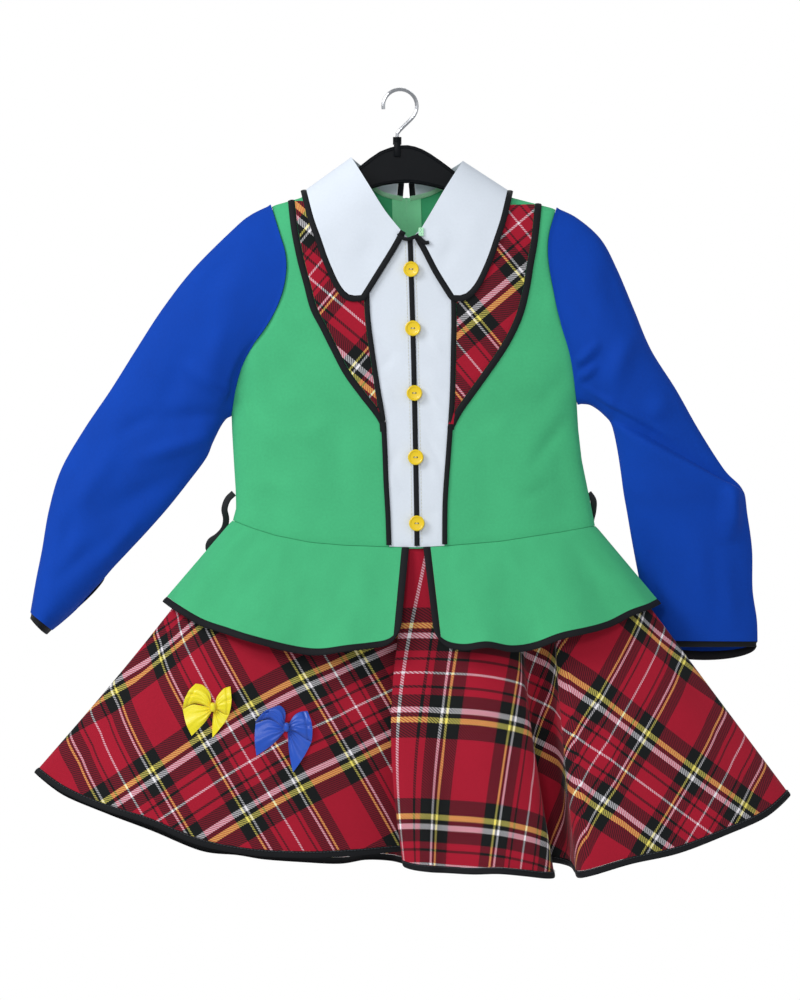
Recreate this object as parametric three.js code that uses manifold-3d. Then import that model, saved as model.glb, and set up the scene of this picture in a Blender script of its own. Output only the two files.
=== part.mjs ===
// Clown costume for a child, size 122 to 128, hanging on its hanger.
// A green jacket-dress with a white shirt front, tartan lapels and skirt, white collar,
// blue sleeves, a short green peplum over the skirt, five yellow buttons and two satin bows.
//
// Millimetres. +X is to the right of someone looking at the front, -Y is the front, +Z is up.
// The origin is the inside top of the hanger's hook, where a rail would carry it.
import * as THREE from 'three';
import Module from 'manifold-3d';
import { mergeVertices } from 'three/addons/utils/BufferGeometryUtils.js';

// Cloth and trim, thickness from the inner face to the outer one
const CLOTH = 1.6;
const SHIRT_CLOTH = 1.4;
const LAPEL_CLOTH = 1.2;
const COLLAR_CLOTH = 1.5;
const SKIRT_CLOTH = 1.3;
const TRIM_CLOTH = 1.2;
const SEAM_GAP = 0.3;
const TRIM_WIDTH = 4.8;
const LAPEL_BINDING_WIDTH = 6.2;
const COLLAR_BINDING_WIDTH = 5.6;
const HEM_BINDING_WIDTH = 6.4;

// The hanging bodice is a flattened tube: half its depth, and how far its shoulders round over
const BODY_HALF_DEPTH = 25;
const SIDE_ROUNDING = 2.6;
const SHOULDER_ROUND_HEIGHT = 58;
const COLLAR_STANDS_OUT = 2.3;

const COLOUR = {
  green: 0x50bc86,
  blue: 0x104ab3,
  white: 0xdde6f0,
  black: 0x1a1d21,
  tartan: 0xa01f34,
  yellow: 0xf5d21e,
  satinYellow: 0xf4e61c,
  satinBlue: 0x1c56c0,
  plastic: 0x14181d,
  metal: 0x9a9ca0,
};

// Side outline of the bodice seen from the front, from the waist to above the armhole
const LEFT_EDGE = [
  { z: -410, x: -158 }, { z: -399, x: -156.2 }, { z: -388, x: -153.2 }, { z: -371, x: -153.6 },
  { z: -343, x: -155.4 }, { z: -315, x: -157 }, { z: -301, x: -157.4 }, { z: -281, x: -164 },
  { z: -240, x: -171 }, { z: -60, x: -174 },
];
const RIGHT_EDGE = [
  { z: -415, x: 186 }, { z: -404, x: 182 }, { z: -371, x: 175.5 }, { z: -343, x: 169.8 },
  { z: -315, x: 166.6 }, { z: -290, x: 165 }, { z: -270, x: 172 }, { z: -229, x: 179 },
  { z: -60, x: 182 },
];
const LEFT_WAIST_Z = -399;
const RIGHT_WAIST_Z = -404;
const LEFT_UNDERARM_Z = -301;
const RIGHT_UNDERARM_Z = -290;

// Shoulder line, which carries on up over the neck so that the neck edges stand open
const SHOULDER_LINE = [
  { x: -180, z: -124 }, { x: -119.5, z: -107 }, { x: -93, z: -99.5 }, { x: -70, z: -86.5 },
  { x: -46, z: -71 }, { x: 6, z: -38 }, { x: 58, z: -75.5 }, { x: 80, z: -88.5 },
  { x: 103, z: -98.8 }, { x: 145, z: -109.7 }, { x: 205, z: -126 },
];

// Armhole seams, from the underarm up to the shoulder tip
const LEFT_ARMHOLE = [
  { x: -157.4, z: -301 }, { x: -153.5, z: -277 }, { x: -147.5, z: -256 }, { x: -138.5, z: -239 },
  { x: -125.6, z: -222 }, { x: -115, z: -204 }, { x: -108, z: -185 }, { x: -105, z: -166 },
  { x: -106.2, z: -150 }, { x: -111, z: -134 }, { x: -119.5, z: -107 },
];
const RIGHT_ARMHOLE = [
  { x: 165, z: -290 }, { x: 162.5, z: -268 }, { x: 160, z: -252 }, { x: 157, z: -239 },
  { x: 151.6, z: -222 }, { x: 146, z: -204 }, { x: 142, z: -185 }, { x: 138.6, z: -167 },
  { x: 136.9, z: -150 }, { x: 138.4, z: -132 }, { x: 145, z: -109.7 },
];
const WAIST = [
  { x: -156.2, z: -399 }, { x: -139.5, z: -405.5 }, { x: -116, z: -413 }, { x: -83.7, z: -419.4 },
  { x: -51, z: -422.2 }, { x: -10.2, z: -423.6 }, { x: 15.8, z: -424.2 }, { x: 41.4, z: -422.8 },
  { x: 93, z: -418.5 }, { x: 148.8, z: -410 }, { x: 182, z: -404 },
];

// Seam between the green front and the white shirt front, from the waist up
const LEFT_PLASTRON = [
  { x: -10.2, z: -423.6 }, { x: -11.2, z: -394 }, { x: -13, z: -362 }, { x: -14, z: -334 },
  { x: -15.8, z: -306 }, { x: -20.5, z: -278 }, { x: -26, z: -241 }, { x: -30, z: -208 },
  { x: -30.6, z: -170 }, { x: -29, z: -103 },
];
const RIGHT_PLASTRON = [
  { x: 41.4, z: -422.8 }, { x: 41.9, z: -380.4 }, { x: 45.1, z: -334 }, { x: 48.2, z: -287.4 },
  { x: 49.4, z: -241 }, { x: 49.8, z: -203.7 }, { x: 48, z: -160 }, { x: 41.5, z: -107 },
];
const CENTRE_FRONT = [
  { x: 15.8, z: -424.2 }, { x: 15.2, z: -380 }, { x: 14, z: -315 }, { x: 12.4, z: -241 },
  { x: 10.8, z: -185 }, { x: 9.4, z: -139 },
];
const CENTRE_BACK = [
  { x: 14, z: -424.2 }, { x: 12, z: -340 }, { x: 9, z: -220 }, { x: 6, z: -98.5 },
];
const LEFT_NECK_POINT = { x: -46, z: -71 };
const RIGHT_NECK_POINT = { x: 58, z: -75.5 };

// Outer edge of each lapel, from its tip up to the shoulder
const LEFT_LAPEL = [
  { x: -14, z: -320 }, { x: -22.3, z: -304 }, { x: -37.2, z: -284.6 }, { x: -52.1, z: -264 },
  { x: -64.2, z: -241 }, { x: -73.5, z: -222.3 }, { x: -83, z: -203.7 }, { x: -89.3, z: -180.4 },
  { x: -95.5, z: -157 }, { x: -101, z: -129 }, { x: -104, z: -103.2 },
];
const RIGHT_LAPEL = [
  { x: 48, z: -318 }, { x: 56.7, z: -301 }, { x: 68.8, z: -283.7 }, { x: 80.9, z: -266.9 },
  { x: 93.9, z: -248.3 }, { x: 105.1, z: -229.7 }, { x: 114.4, z: -208.3 }, { x: 120.2, z: -185 },
  { x: 124, z: -161.8 }, { x: 128, z: -138.6 }, { x: 131.6, z: -106.3 },
];

// Each collar half: its roll line, outer edge, front edge, line over the shoulder and back
const COLLARS = [
  {
    name: 'left', side: -1,
    roll: [{ x: 0.5, z: -130 }, { x: -14, z: -112 }, { x: -29, z: -88 }, { x: -44.6, z: -62.5 }],
    outer: [
      { x: -36, z: -190.5 }, { x: -47, z: -190 }, { x: -56, z: -180 }, { x: -66, z: -158 },
      { x: -73, z: -138 }, { x: -80, z: -118 }, { x: -86.4, z: -92.5 },
    ],
    front: [{ x: 0.5, z: -130 }, { x: -9, z: -147 }, { x: -22, z: -168 }, { x: -36, z: -190.5 }],
    backRoll: [{ x: -44.6, z: -62.5 }, { x: -26, z: -80 }, { x: -1.6, z: -90 }],
    backOuter: [{ x: -86.4, z: -92.5 }, { x: -74, z: -135 }, { x: -44, z: -160 }, { x: -8, z: -167 }],
    backEnd: [{ x: -1.6, z: -90 }, { x: -4, z: -112 }, { x: -8, z: -167 }],
  },
  {
    name: 'right', side: 1,
    roll: [{ x: 17, z: -133 }, { x: 28, z: -115 }, { x: 42, z: -91 }, { x: 57.7, z: -66 }],
    outer: [
      { x: 50, z: -190.5 }, { x: 60, z: -189.5 }, { x: 70, z: -179 }, { x: 80, z: -158 },
      { x: 87, z: -138 }, { x: 93.4, z: -118 }, { x: 99.2, z: -93 },
    ],
    front: [{ x: 17, z: -133 }, { x: 25, z: -147 }, { x: 36, z: -168 }, { x: 50, z: -190.5 }],
    backRoll: [{ x: 57.7, z: -66 }, { x: 39, z: -81 }, { x: 13.6, z: -90 }],
    backOuter: [{ x: 99.2, z: -93 }, { x: 87, z: -135 }, { x: 57, z: -160 }, { x: 21, z: -167 }],
    backEnd: [{ x: 13.6, z: -90 }, { x: 16, z: -112 }, { x: 21, z: -167 }],
  },
];

// Sleeve sections from armhole to cuff: outer and inner edge in the front view, middle and half
// depth, and how far the back of the section swings past the inner edge
const LEFT_SLEEVE = [
  { outX: -119.5, outZ: -107, inX: -157.4, inZ: -301, midY: 0, half: 20, swingX: 0, swingZ: 0 },
  { outX: -138, outZ: -116, inX: -163, inZ: -305, midY: 0, half: 22, swingX: 0, swingZ: 0 },
  { outX: -154, outZ: -129, inX: -168.5, inZ: -313, midY: 0, half: 23, swingX: 0, swingZ: 0 },
  { outX: -191.6, outZ: -166.5, inX: -175, inZ: -326, midY: 0, half: 23, swingX: 0, swingZ: 0 },
  { outX: -220.4, outZ: -203.7, inX: -181.4, inZ: -341, midY: 0, half: 21, swingX: 0, swingZ: 0 },
  { outX: -244.6, outZ: -241, inX: -197, inZ: -362, midY: 0, half: 19, swingX: 0, swingZ: 0 },
  { outX: -267.8, outZ: -278, inX: -216, inZ: -386, midY: 0, half: 18, swingX: 0, swingZ: 0 },
  { outX: -293, outZ: -315.3, inX: -235.3, inZ: -408, midY: 0, half: 17, swingX: 0, swingZ: 0 },
  { outX: -314.3, outZ: -352.5, inX: -253, inZ: -427, midY: 0, half: 17, swingX: 0, swingZ: 0 },
  { outX: -325.5, outZ: -389.7, inX: -268, inZ: -443, midY: 0, half: 18, swingX: 0, swingZ: 0 },
  { outX: -332, outZ: -427, inX: -281, inZ: -458, midY: 0, half: 20, swingX: 4, swingZ: 3 },
  { outX: -337.6, outZ: -455, inX: -299, inZ: -476, midY: 1, half: 21, swingX: 12, swingZ: 9 },
  { outX: -342, outZ: -480, inX: -320, inZ: -496.5, midY: 2, half: 22, swingX: 27, swingZ: 21 },
];
const RIGHT_SLEEVE = [
  { outX: 145, outZ: -109.7, inX: 165, inZ: -290, midY: 0, half: 20, swingX: 0, swingZ: 0 },
  { outX: 164, outZ: -119, inX: 170, inZ: -290, midY: 0, half: 22, swingX: 0, swingZ: 0 },
  { outX: 186, outZ: -138.6, inX: 177, inZ: -291, midY: 0, half: 23, swingX: 0, swingZ: 0 },
  { outX: 201, outZ: -166.5, inX: 184, inZ: -295, midY: 0, half: 22, swingX: 0, swingZ: 0 },
  { outX: 216.7, outZ: -203.7, inX: 191, inZ: -301, midY: 0, half: 21, swingX: 0, swingZ: 0 },
  { outX: 232.5, outZ: -241, inX: 197, inZ: -308, midY: 1, half: 19, swingX: 0, swingZ: 0 },
  { outX: 255.8, outZ: -278, inX: 201, inZ: -320, midY: 2, half: 18, swingX: 0, swingZ: 0 },
  { outX: 277, outZ: -315.3, inX: 204, inZ: -336, midY: 4, half: 17, swingX: 0, swingZ: 0 },
  { outX: 301, outZ: -352.5, inX: 207, inZ: -356, midY: 6, half: 16, swingX: 0, swingZ: 0 },
  { outX: 318, outZ: -371, inX: 209.5, inZ: -374, midY: 8, half: 15, swingX: 0, swingZ: 0 },
  { outX: 322.7, outZ: -394.3, inX: 213, inZ: -393, midY: 12, half: 14, swingX: 0, swingZ: 0 },
  { outX: 327.4, outZ: -427, inX: 218, inZ: -421, midY: 18, half: 14, swingX: 0, swingZ: 0 },
  { outX: 328.3, outZ: -464, inX: 225, inZ: -456, midY: 26, half: 13, swingX: 0, swingZ: 0 },
  { outX: 332.5, outZ: -492, inX: 232, inZ: -487, midY: 31, half: 13, swingX: 0, swingZ: 0 },
  { outX: 333.3, outZ: -512, inX: 237, inZ: -511, midY: 33, half: 13, swingX: 0, swingZ: -5 },
];
const CUFF_BINDING = 6;
const ARMHOLE_GAP = 0.4;
const SLEEVE_HALF_STEPS = 10;
const SLEEVE_RINGS = 18;
const SLEEVE_CLOSER_AT_SEAM = 1.35;
const SLEEVE_LENGTH = 440;

// Skirt hem, once round from the left side seam: front folds first, then the back
const SKIRT_HEM = [
  { x: -340.4, y: 0, z: -634, bow: 5 }, { x: -315, y: -16, z: -651, bow: 3 },
  { x: -275, y: -29, z: -667.6, bow: 0 }, { x: -232, y: -37, z: -681, bow: 0 },
  { x: -188, y: -43, z: -699, bow: 0 }, { x: -139, y: -46, z: -708.5, bow: 0 },
  { x: -84, y: -45, z: -711, bow: 0 }, { x: -37, y: -38, z: -709, bow: 0 },
  { x: 6, y: -27, z: -706, bow: 0 }, { x: 40, y: -20, z: -708, bow: 0 },
  { x: 60, y: -18, z: -710, bow: 0 }, { x: 67, y: -25, z: -712, bow: 0 },
  { x: 55, y: -33, z: -713, bow: -3 }, { x: 30, y: -38, z: -714, bow: -8 },
  { x: 10, y: -44, z: -716, bow: -14 }, { x: 3, y: -53, z: -718.5, bow: -17 },
  { x: 12, y: -61, z: -721.5, bow: -12 }, { x: 28, y: -64, z: -723.5, bow: -5 },
  { x: 43, y: -59, z: -724.5, bow: -2 }, { x: 68, y: -66, z: -725.5, bow: 0 },
  { x: 91, y: -70, z: -725, bow: 0 }, { x: 114, y: -68, z: -727, bow: 0 },
  { x: 135, y: -60, z: -729.5, bow: 0 }, { x: 143, y: -49, z: -729, bow: 0 },
  { x: 138, y: -34, z: -725, bow: 0 }, { x: 130, y: -14, z: -720, bow: 0 },
  { x: 141, y: 2, z: -718, bow: 0 }, { x: 157, y: -8, z: -721, bow: 0 },
  { x: 162, y: -30, z: -726, bow: 0 }, { x: 165, y: -47, z: -729.5, bow: -4 },
  { x: 178, y: -56, z: -727, bow: -2 }, { x: 214, y: -56, z: -716, bow: 0 },
  { x: 258, y: -49, z: -706.5, bow: 0 }, { x: 302, y: -37, z: -690.5, bow: 0 },
  { x: 340, y: -21, z: -674.5, bow: 0 }, { x: 363.6, y: 0, z: -655, bow: 0 },
  { x: 335, y: 22, z: -677, bow: 0 }, { x: 279, y: 40, z: -700, bow: 0 },
  { x: 225, y: 54, z: -715, bow: 0 }, { x: 178, y: 62, z: -722, bow: 0 },
  { x: 140, y: 48, z: -720, bow: 0 }, { x: 118, y: 22, z: -716, bow: 0 },
  { x: 92, y: 34, z: -719, bow: 0 }, { x: 76, y: 60, z: -724, bow: 0 },
  { x: 44, y: 70, z: -726, bow: 0 }, { x: 12, y: 62, z: -724, bow: 0 },
  { x: -8, y: 32, z: -718, bow: 0 }, { x: -34, y: 28, z: -717, bow: 0 },
  { x: -58, y: 54, z: -722, bow: 0 }, { x: -92, y: 66, z: -721, bow: 0 },
  { x: -128, y: 60, z: -718, bow: 0 }, { x: -152, y: 42, z: -713, bow: 0 },
  { x: -186, y: 46, z: -709, bow: 0 }, { x: -232, y: 42, z: -690, bow: 0 },
  { x: -275, y: 31, z: -673.5, bow: 0 }, { x: -314, y: 15, z: -656, bow: 3 },
];
const SKIRT_SIDE_ROW = 35;
const SKIRT_RINGS = 5;
const SKIRT_LAYS_INSIDE = 4.2;
const SKIRT_STARTS_BELOW = 1.2;

// Peplum hems, from the side seam to the front opening and across the back
const PEPLUM_LEFT_HEM = [
  { x: -221, y: -0.7, z: -475 }, { x: -209, y: -18, z: -483 }, { x: -188, y: -27, z: -495 },
  { x: -165, y: -35, z: -503 }, { x: -143, y: -41, z: -511 }, { x: -121, y: -45, z: -516.5 },
  { x: -98, y: -48, z: -521 }, { x: -76, y: -50, z: -523.5 }, { x: -54, y: -51, z: -521.5 },
  { x: -32, y: -51, z: -518.5 }, { x: -10, y: -51, z: -514.5 }, { x: 0, y: -50.5, z: -508.5 },
];
const PEPLUM_RIGHT_HEM = [
  { x: 32, y: -54, z: -510.5 }, { x: 42, y: -55, z: -516 }, { x: 60, y: -57, z: -519.5 },
  { x: 82, y: -57, z: -517.5 }, { x: 104, y: -55, z: -520.5 }, { x: 127, y: -52, z: -517 },
  { x: 149, y: -49, z: -509.5 }, { x: 172, y: -43, z: -505 }, { x: 194, y: -35, z: -498 },
  { x: 216, y: -25, z: -487.5 }, { x: 232, y: -16, z: -482 }, { x: 243, y: -0.7, z: -477 },
];
const PEPLUM_BACK_HEM = [
  { x: 243, y: 0.7, z: -477 }, { x: 224, y: 22, z: -487 }, { x: 190, y: 37, z: -500 },
  { x: 150, y: 49, z: -511 }, { x: 110, y: 50, z: -517 }, { x: 72, y: 56, z: -521 },
  { x: 36, y: 59, z: -522 }, { x: 0, y: 54, z: -521 }, { x: -36, y: 48, z: -521 },
  { x: -74, y: 54, z: -520 }, { x: -112, y: 53, z: -515 }, { x: -150, y: 44, z: -507 },
  { x: -188, y: 30, z: -494 }, { x: -209, y: 19, z: -484 }, { x: -221, y: 0.7, z: -475 },
];
const PEPLUM_FRONT_LEFT_X = 8.5;
const PEPLUM_FRONT_RIGHT_X = 21.5;

// Buttons down the centre front
const BUTTON_RADIUS = 7.3;
const BUTTON_THICKNESS = 2.6;
const BUTTON_HOLE_RADIUS = 0.8;
const BUTTON_HOLE_SPACING = 2.6;
const BUTTON_HEIGHTS = [-166.5, -221.3, -281.3, -340.8, -402];

// Satin bows on the skirt: knot, and upper and lower edge of each half
const BOWS = [
  {
    name: 'yellow', colour: COLOUR.satinYellow, knot: { x: -172.8, z: -573, standsOff: 4 },
    left: {
      upper: [{ x: -175, z: -570 }, { x: -176, z: -562 }, { x: -186, z: -552 }, { x: -197, z: -563 }],
      lower: [{ x: -175, z: -576 }, { x: -179, z: -588 }, { x: -192, z: -599 }, { x: -200, z: -573 }],
    },
    right: {
      upper: [{ x: -169.2, z: -570 }, { x: -168, z: -560 }, { x: -160, z: -553 }, { x: -155, z: -559 }],
      lower: [{ x: -169.2, z: -576 }, { x: -174, z: -588 }, { x: -172, z: -600.5 }, { x: -158, z: -578 }],
    },
  },
  {
    name: 'blue', colour: COLOUR.satinBlue, knot: { x: -105, z: -591, standsOff: 3.1 },
    left: {
      upper: [{ x: -107.1, z: -588 }, { x: -107, z: -577 }, { x: -116, z: -571.5 }, { x: -131, z: -584 }],
      lower: [{ x: -107.1, z: -594 }, { x: -115, z: -604 }, { x: -131, z: -617 }, { x: -133.5, z: -593 }],
    },
    right: {
      upper: [{ x: -102.9, z: -588 }, { x: -97, z: -578 }, { x: -88, z: -578 }, { x: -82.5, z: -587 }],
      lower: [{ x: -102.9, z: -594 }, { x: -101, z: -610 }, { x: -98.5, z: -632 }, { x: -81.5, z: -604 }],
    },
  },
];
const BOW_PUFF = 6;
const RIBBON = 1.2;
const BOW_CLEARANCE = 0.5;
const KNOT_RADIUS = 2;
const KNOT_LENGTH = 4;

// Waist ties, narrow ribbons sewn into the side seams, with their free ends behind the peplum
const TIE_WIDTH = 6;
const TIE_THICKNESS = 1.2;
const LEFT_TIE = [
  { x: -154.6, y: 0, z: -374 }, { x: -160.5, y: 1, z: -380 }, { x: -163.4, y: 3, z: -389 },
  { x: -162, y: 8, z: -398 }, { x: -164, y: 14, z: -407 }, { x: -170, y: 18, z: -414 },
  { x: -177, y: 18, z: -419 }, { x: -178.6, y: 19, z: -426 }, { x: -174, y: 23, z: -433 },
  { x: -171, y: 26, z: -441 },
];
const RIGHT_TIE = [
  { x: 175.6, y: 2.5, z: -374 }, { x: 180.2, y: 7, z: -381 }, { x: 180, y: 13, z: -391 },
  { x: 178, y: 19, z: -402 }, { x: 180, y: 25, z: -415 }, { x: 184, y: 30, z: -428 },
  { x: 186, y: 33, z: -441 }, { x: 184, y: 36, z: -452 },
];

// Hanger and its hook
const HANGER_TOP = [
  { x: -112, z: -110 }, { x: -93, z: -103.5 }, { x: -70, z: -90.6 }, { x: -46, z: -75.8 },
  { x: -36, z: -68.6 }, { x: -18.6, z: -56 }, { x: 0, z: -50.4 }, { x: 14, z: -51.5 },
  { x: 28, z: -58 }, { x: 46, z: -70.8 }, { x: 58, z: -80.2 }, { x: 80, z: -92.6 },
  { x: 103, z: -102.6 }, { x: 134, z: -111.5 },
];
const HANGER_BOTTOM = [
  { x: 134, z: -119 }, { x: 98, z: -112.5 }, { x: 68, z: -103 }, { x: 44, z: -93 },
  { x: 28, z: -88.6 }, { x: 8, z: -85.5 }, { x: -12, z: -87 }, { x: -28, z: -91.5 },
  { x: -51, z: -100 }, { x: -84, z: -111 }, { x: -112, z: -118 },
];
const HANGER_FLAT = 5;
const HANGER_BEVEL = 1.4;
const HOOK_X = -2.6;
const HOOK_INSIDE_RADIUS = 14;
const HOOK_WIRE_RADIUS = 1.7;
const HOOK_END_ANGLE = 190;
const HOOK_START_ANGLE = -42;
const HOOK_SOCKET_RADIUS = 4;
const HOOK_SOCKET_HEIGHT = 7;

// Zip in the centre back seam: its teeth, and a slider with a pin that carries the pull tab
const ZIP_WIDTH = 3;
const ZIP_OUTSIDE = -0.2;
const SLIDER = { width: 5.4, base: 1, length: 8, topZ: -111, cheek: 0.9, cheekLength: 3 };
const PIN_RADIUS = 0.5;
const PIN_ABOVE_BASE = 1.7;
const PULL = { width: 3, thickness: 0.9, length: 16, eyeRadius: 1.35, eyeHole: 0.8 };

// Plain shape helpers

function valueAt(rows, key, wanted, position) {
  const ordered = rows[0][key] < rows[rows.length - 1][key] ? rows : [...rows].reverse();
  const last = ordered.length - 1;
  if (position <= ordered[0][key]) return ordered[0][wanted];
  if (position >= ordered[last][key]) return ordered[last][wanted];
  const next = ordered.findIndex((row) => row[key] >= position);
  const before = ordered[next - 1];
  const share = (position - before[key]) / (ordered[next][key] - before[key]);
  return before[wanted] + share * (ordered[next][wanted] - before[wanted]);
}

function smoothValueAt(rows, wanted, position) {
  const curve = new THREE.SplineCurve(rows.map((row, index) => new THREE.Vector2(index, row[wanted])));
  return curve.getPoint(position).y;
}

function curveThrough(rows) {
  const curve = new THREE.SplineCurve(rows.map((row) => new THREE.Vector2(row.x, row.z)));
  curve.arcLengthDivisions = 400;
  return (share) => curve.getPointAt(THREE.MathUtils.clamp(share, 0, 1));
}

function straight(from, to) {
  const start = new THREE.Vector2(from.x, from.z ?? from.y);
  const end = new THREE.Vector2(to.x, to.z ?? to.y);
  return (share) => start.clone().lerp(end, share);
}

function joined(first, second, firstShare) {
  return (share) => (share < firstShare
    ? first(share / firstShare)
    : second((share - firstShare) / (1 - firstShare)));
}

function shifted(curve, distance) {
  const step = 0.004;
  return (share) => {
    const from = curve(Math.max(0, share - step));
    const along = curve(Math.min(1, share + step)).clone().sub(from).normalize();
    return curve(share).clone().add(new THREE.Vector2(-along.y, along.x).multiplyScalar(distance));
  };
}

// Patch filled in between four edges of the flat front view
function filled(left, right, bottom, top) {
  return (u, v) => {
    const across = left(v).clone().multiplyScalar(1 - u).addScaledVector(right(v), u);
    const upwards = bottom(u).clone().multiplyScalar(1 - v).addScaledVector(top(u), v);
    const corners = bottom(0).clone().multiplyScalar((1 - u) * (1 - v))
      .addScaledVector(bottom(1), u * (1 - v))
      .addScaledVector(top(0), (1 - u) * v)
      .addScaledVector(top(1), u * v);
    return across.add(upwards).sub(corners);
  };
}

// Closed wall between two offsets of a surface, given as a place and an outward direction
function wall(surface, columns, rows, inner, outer, round = false) {
  const across = round ? columns : columns + 1;
  const places = [];
  for (const offset of [outer, inner]) {
    for (let row = 0; row <= rows; row += 1) {
      for (let column = 0; column < across; column += 1) {
        const spot = surface(column / columns, row / rows, column, row);
        places.push(spot.place.clone().addScaledVector(spot.out, offset));
      }
    }
  }
  const layer = across * (rows + 1);
  const at = (column, row, back) => back * layer + row * across + (column % across);
  const faces = [];
  const quad = (a, b, c, d) => faces.push(a, b, c, a, c, d);
  for (let row = 0; row < rows; row += 1) {
    for (let column = 0; column < columns; column += 1) {
      quad(at(column, row, 0), at(column + 1, row, 0), at(column + 1, row + 1, 0), at(column, row + 1, 0));
      quad(at(column, row + 1, 1), at(column + 1, row + 1, 1), at(column + 1, row, 1), at(column, row, 1));
    }
    if (!round) {
      quad(at(0, row, 0), at(0, row + 1, 0), at(0, row + 1, 1), at(0, row, 1));
      quad(at(columns, row + 1, 0), at(columns, row, 0), at(columns, row, 1), at(columns, row + 1, 1));
    }
  }
  for (let column = 0; column < columns; column += 1) {
    quad(at(column + 1, 0, 0), at(column, 0, 0), at(column, 0, 1), at(column + 1, 0, 1));
    quad(at(column, rows, 0), at(column + 1, rows, 0), at(column + 1, rows, 1), at(column, rows, 1));
  }
  return solidFrom(places, faces);
}

// Geometry from places and faces, turned so that the faces point outwards
function solidFrom(places, faces) {
  let volume = 0;
  for (let index = 0; index < faces.length; index += 3) {
    const [a, b, c] = [places[faces[index]], places[faces[index + 1]], places[faces[index + 2]]];
    volume += a.dot(b.clone().cross(c));
  }
  if (volume < 0) faces.reverse();
  const geometry = new THREE.BufferGeometry();
  const numbers = places.flatMap((place) => [place.x, place.y, place.z]);
  geometry.setAttribute('position', new THREE.Float32BufferAttribute(numbers, 3));
  geometry.setIndex(faces);
  geometry.computeVertexNormals();
  return geometry;
}

const costume = new THREE.Group();
costume.name = 'clown_costume';

function add(name, geometry, colour, roughness = 0.9, metalness = 0) {
  const material = new THREE.MeshStandardMaterial({ color: colour, roughness, metalness });
  const mesh = new THREE.Mesh(geometry, material);
  mesh.name = name;
  costume.add(mesh);
  return mesh;
}

// Form of the bodice

function bodyHalfDepth(x, z, standOut = 0, topLine = SHOULDER_LINE) {
  const left = valueAt(LEFT_EDGE, 'z', 'x', z);
  const right = valueAt(RIGHT_EDGE, 'z', 'x', z);
  const fromMiddle = Math.min(1, Math.abs(2 * x - left - right) / (right - left));
  const sides = Math.sqrt(1 - fromMiddle ** SIDE_ROUNDING);
  const below = Math.max(0, valueAt(topLine, 'x', 'z', x) - z);
  const rising = 1 - Math.min(1, below / SHOULDER_ROUND_HEIGHT);
  return (BODY_HALF_DEPTH * sides + standOut) * Math.sqrt(1 - rising * rising);
}

// Place on the outside of the front (side -1) or back (side 1), and its outward direction
function onBody(side, x, z, standOut = 0, topLine = SHOULDER_LINE, seam = SEAM_GAP / 2) {
  const step = 0.001;
  const depth = bodyHalfDepth(x, z, standOut, topLine);
  const slopeX = (bodyHalfDepth(x + step, z, standOut, topLine)
    - bodyHalfDepth(x - step, z, standOut, topLine)) / (2 * step);
  const slopeZ = (bodyHalfDepth(x, z + step, standOut, topLine)
    - bodyHalfDepth(x, z - step, standOut, topLine)) / (2 * step);
  return {
    place: new THREE.Vector3(x, side * (seam + depth), z),
    out: new THREE.Vector3(-slopeX, side, -slopeZ).normalize(),
  };
}

function onFlatPanel(side, flat) {
  return (u, v) => {
    const spot = flat(u, v);
    return onBody(side, spot.x, spot.y);
  };
}

// Rows that come closer together towards the shoulder
const towardsShoulder = (share) => 1 - (1 - share) ** 1.4;
const closeToShoulder = (share) => 1 - (1 - share) ** 1.9;

const ARMHOLE_ROWS = SLEEVE_HALF_STEPS;
const SIDE_ROWS = 4;
const BODY_ROWS = ARMHOLE_ROWS + SIDE_ROWS;

function sideSeam(edge, waistZ, underarmZ) {
  return (share) => {
    const z = THREE.MathUtils.lerp(waistZ, underarmZ, share);
    return new THREE.Vector2(valueAt(edge, 'z', 'x', z), z);
  };
}

const armholes = {
  left: curveThrough(LEFT_ARMHOLE),
  right: curveThrough(RIGHT_ARMHOLE),
};
const bodySides = {
  left: joined(
    sideSeam(LEFT_EDGE, LEFT_WAIST_Z, LEFT_UNDERARM_Z),
    (share) => armholes.left(towardsShoulder(share)),
    SIDE_ROWS / BODY_ROWS,
  ),
  right: joined(
    sideSeam(RIGHT_EDGE, RIGHT_WAIST_Z, RIGHT_UNDERARM_Z),
    (share) => armholes.right(towardsShoulder(share)),
    SIDE_ROWS / BODY_ROWS,
  ),
};
const plastrons = { left: curveThrough(LEFT_PLASTRON), right: curveThrough(RIGHT_PLASTRON) };
const centreFront = curveThrough(CENTRE_FRONT);
const centreBack = curveThrough(CENTRE_BACK);

// Share of the waist seam at a given distance across
function waistBetween(fromX, toX) {
  return (share) => {
    const x = THREE.MathUtils.lerp(fromX, toX, share);
    return new THREE.Vector2(x, valueAt(WAIST, 'x', 'z', x));
  };
}

// Shares of the top edge of a panel that lie along the shoulder
const SHOULDER_SHARE_OF_FRONT = 0.75;
const SHOULDER_SHARE_OF_BACK = 0.625;

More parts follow.
